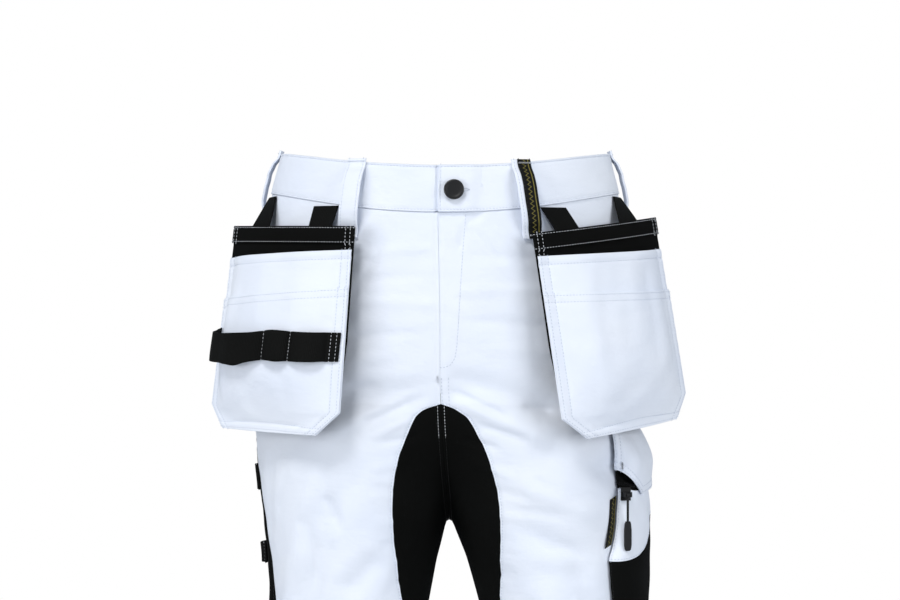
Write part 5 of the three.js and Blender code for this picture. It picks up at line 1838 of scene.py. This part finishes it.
class GARMENT_OT_stage(bpy.types.Operator):
    """The floor, soft studio light and camera"""
    bl_idname = "garment.stage"
    bl_label = "Stage"

    def execute(self, context):
        scene, settings = context.scene, context.scene.trousers_stage
        self.floor(scene)
        self.sky(scene, settings.light)
        self.lamps(scene, settings.light)
        scene.view_settings.view_transform = "Standard"
        camera = bpy.data.cameras.new("camera")
        camera.lens, camera.sensor_width = settings.lens, CAMERA["sensor"]
        holder = bpy.data.objects.new("camera", camera)
        holder.location = (CAMERA["x"], -settings.distance, CAMERA["z"])
        holder.rotation_euler = (math.radians(90), 0, 0)
        scene.collection.objects.link(holder)
        scene.camera = holder
        return {"FINISHED"}

    def floor(self, scene):
        material, _, _ = principled("Studio floor", FLOOR["colour"], 0.9)
        turn = np.linspace(0, math.tau, 97)[:-1]
        rim = point(FLOOR["radius"] * np.cos(turn), FLOOR["radius"] * np.sin(turn), FLOOR["z"])
        mesh = bpy.data.meshes.new("floor")
        mesh.from_pydata(rim.tolist(), [], [tuple(range(len(rim)))])
        mesh.materials.append(material)
        floor = bpy.data.objects.new("floor", mesh)
        scene.collection.objects.link(floor)

    def sky(self, scene, strength):
        """Soft light from all round, before paper that the camera sees as white."""
        world = scene.world or bpy.data.worlds.new("Studio")
        scene.world = world
        world.use_nodes = True
        tree = world.node_tree
        sky, paper = tree.nodes["Background"], tree.nodes.new("ShaderNodeBackground")
        sky.inputs["Color"].default_value = SKY["colour"]
        sky.inputs["Strength"].default_value = SKY["strength"] * strength
        path, choice = tree.nodes.new("ShaderNodeLightPath"), tree.nodes.new("ShaderNodeMixShader")
        paper.inputs["Color"].default_value = (1, 1, 1, 1)
        tree.links.new(path.outputs["Is Camera Ray"], choice.inputs[0])
        tree.links.new(sky.outputs[0], choice.inputs[1])
        tree.links.new(paper.outputs[0], choice.inputs[2])
        tree.links.new(choice.outputs[0], tree.nodes["World Output"].inputs["Surface"])

    def lamps(self, scene, strength):
        for row in LAMPS:
            data = bpy.data.lights.new(row["name"], "AREA")
            data.shape, data.size = "SQUARE", row["size"]
            data.energy, data.color = row["power"] * strength, row["colour"]
            lamp = bpy.data.objects.new(row["name"], data)
            lamp.location = row["place"]
            lamp.rotation_euler = (Vector(LAMPS_AIM) - lamp.location).to_track_quat("-Z", "Y").to_euler()
            scene.collection.objects.link(lamp)


class GARMENT_PT_panel(bpy.types.Panel):
    """Lists the steps that make the trousers"""
    bl_idname = "GARMENT_PT_panel"
    bl_label = "Carpenter trousers"
    bl_space_type = "VIEW_3D"
    bl_region_type = "UI"
    bl_category = "Garment"

    def draw(self, context):
        for name in SETTINGS:
            settings = getattr(context.scene, name)
            box = self.layout.box()
            for prop in settings.bl_rna.properties:
                if prop.identifier not in ("rna_type", "name"):
                    box.prop(settings, prop.identifier)
        for operator in OPERATORS:
            self.layout.operator(operator.bl_idname)


OPERATORS = (
    GARMENT_OT_materials,
    GARMENT_OT_leg_panels,
    GARMENT_OT_gusset,
    GARMENT_OT_waistband,
    GARMENT_OT_belt_loops,
    GARMENT_OT_button,
    GARMENT_OT_holsters,
    GARMENT_OT_tool_band,
    GARMENT_OT_thigh_pocket,
    GARMENT_OT_rule_pocket,
    GARMENT_OT_zip_parts,
    GARMENT_OT_stage,
)
SETTINGS = {
    "trousers_cloth": ClothSettings,
    "trousers_sewing": SewingSettings,
    "trousers_stage": StageSettings,
}


def register():
    for cls in (*SETTINGS.values(), *OPERATORS, GARMENT_PT_panel):
        bpy.utils.register_class(cls)
    for name, cls in SETTINGS.items():
        setattr(bpy.types.Scene, name, PointerProperty(type=cls))


def unregister():
    for name in SETTINGS:
        delattr(bpy.types.Scene, name)
    for cls in reversed((*SETTINGS.values(), *OPERATORS, GARMENT_PT_panel)):
        bpy.utils.unregister_class(cls)


def plain(bounds):
    return [[float(value) for value in corner] for corner in bounds]


def main():
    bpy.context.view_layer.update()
    register()
    for operator in OPERATORS:
        category, name = operator.bl_idname.split(".")
        getattr(getattr(bpy.ops, category), name)()


if __name__ == "__main__":
    main()
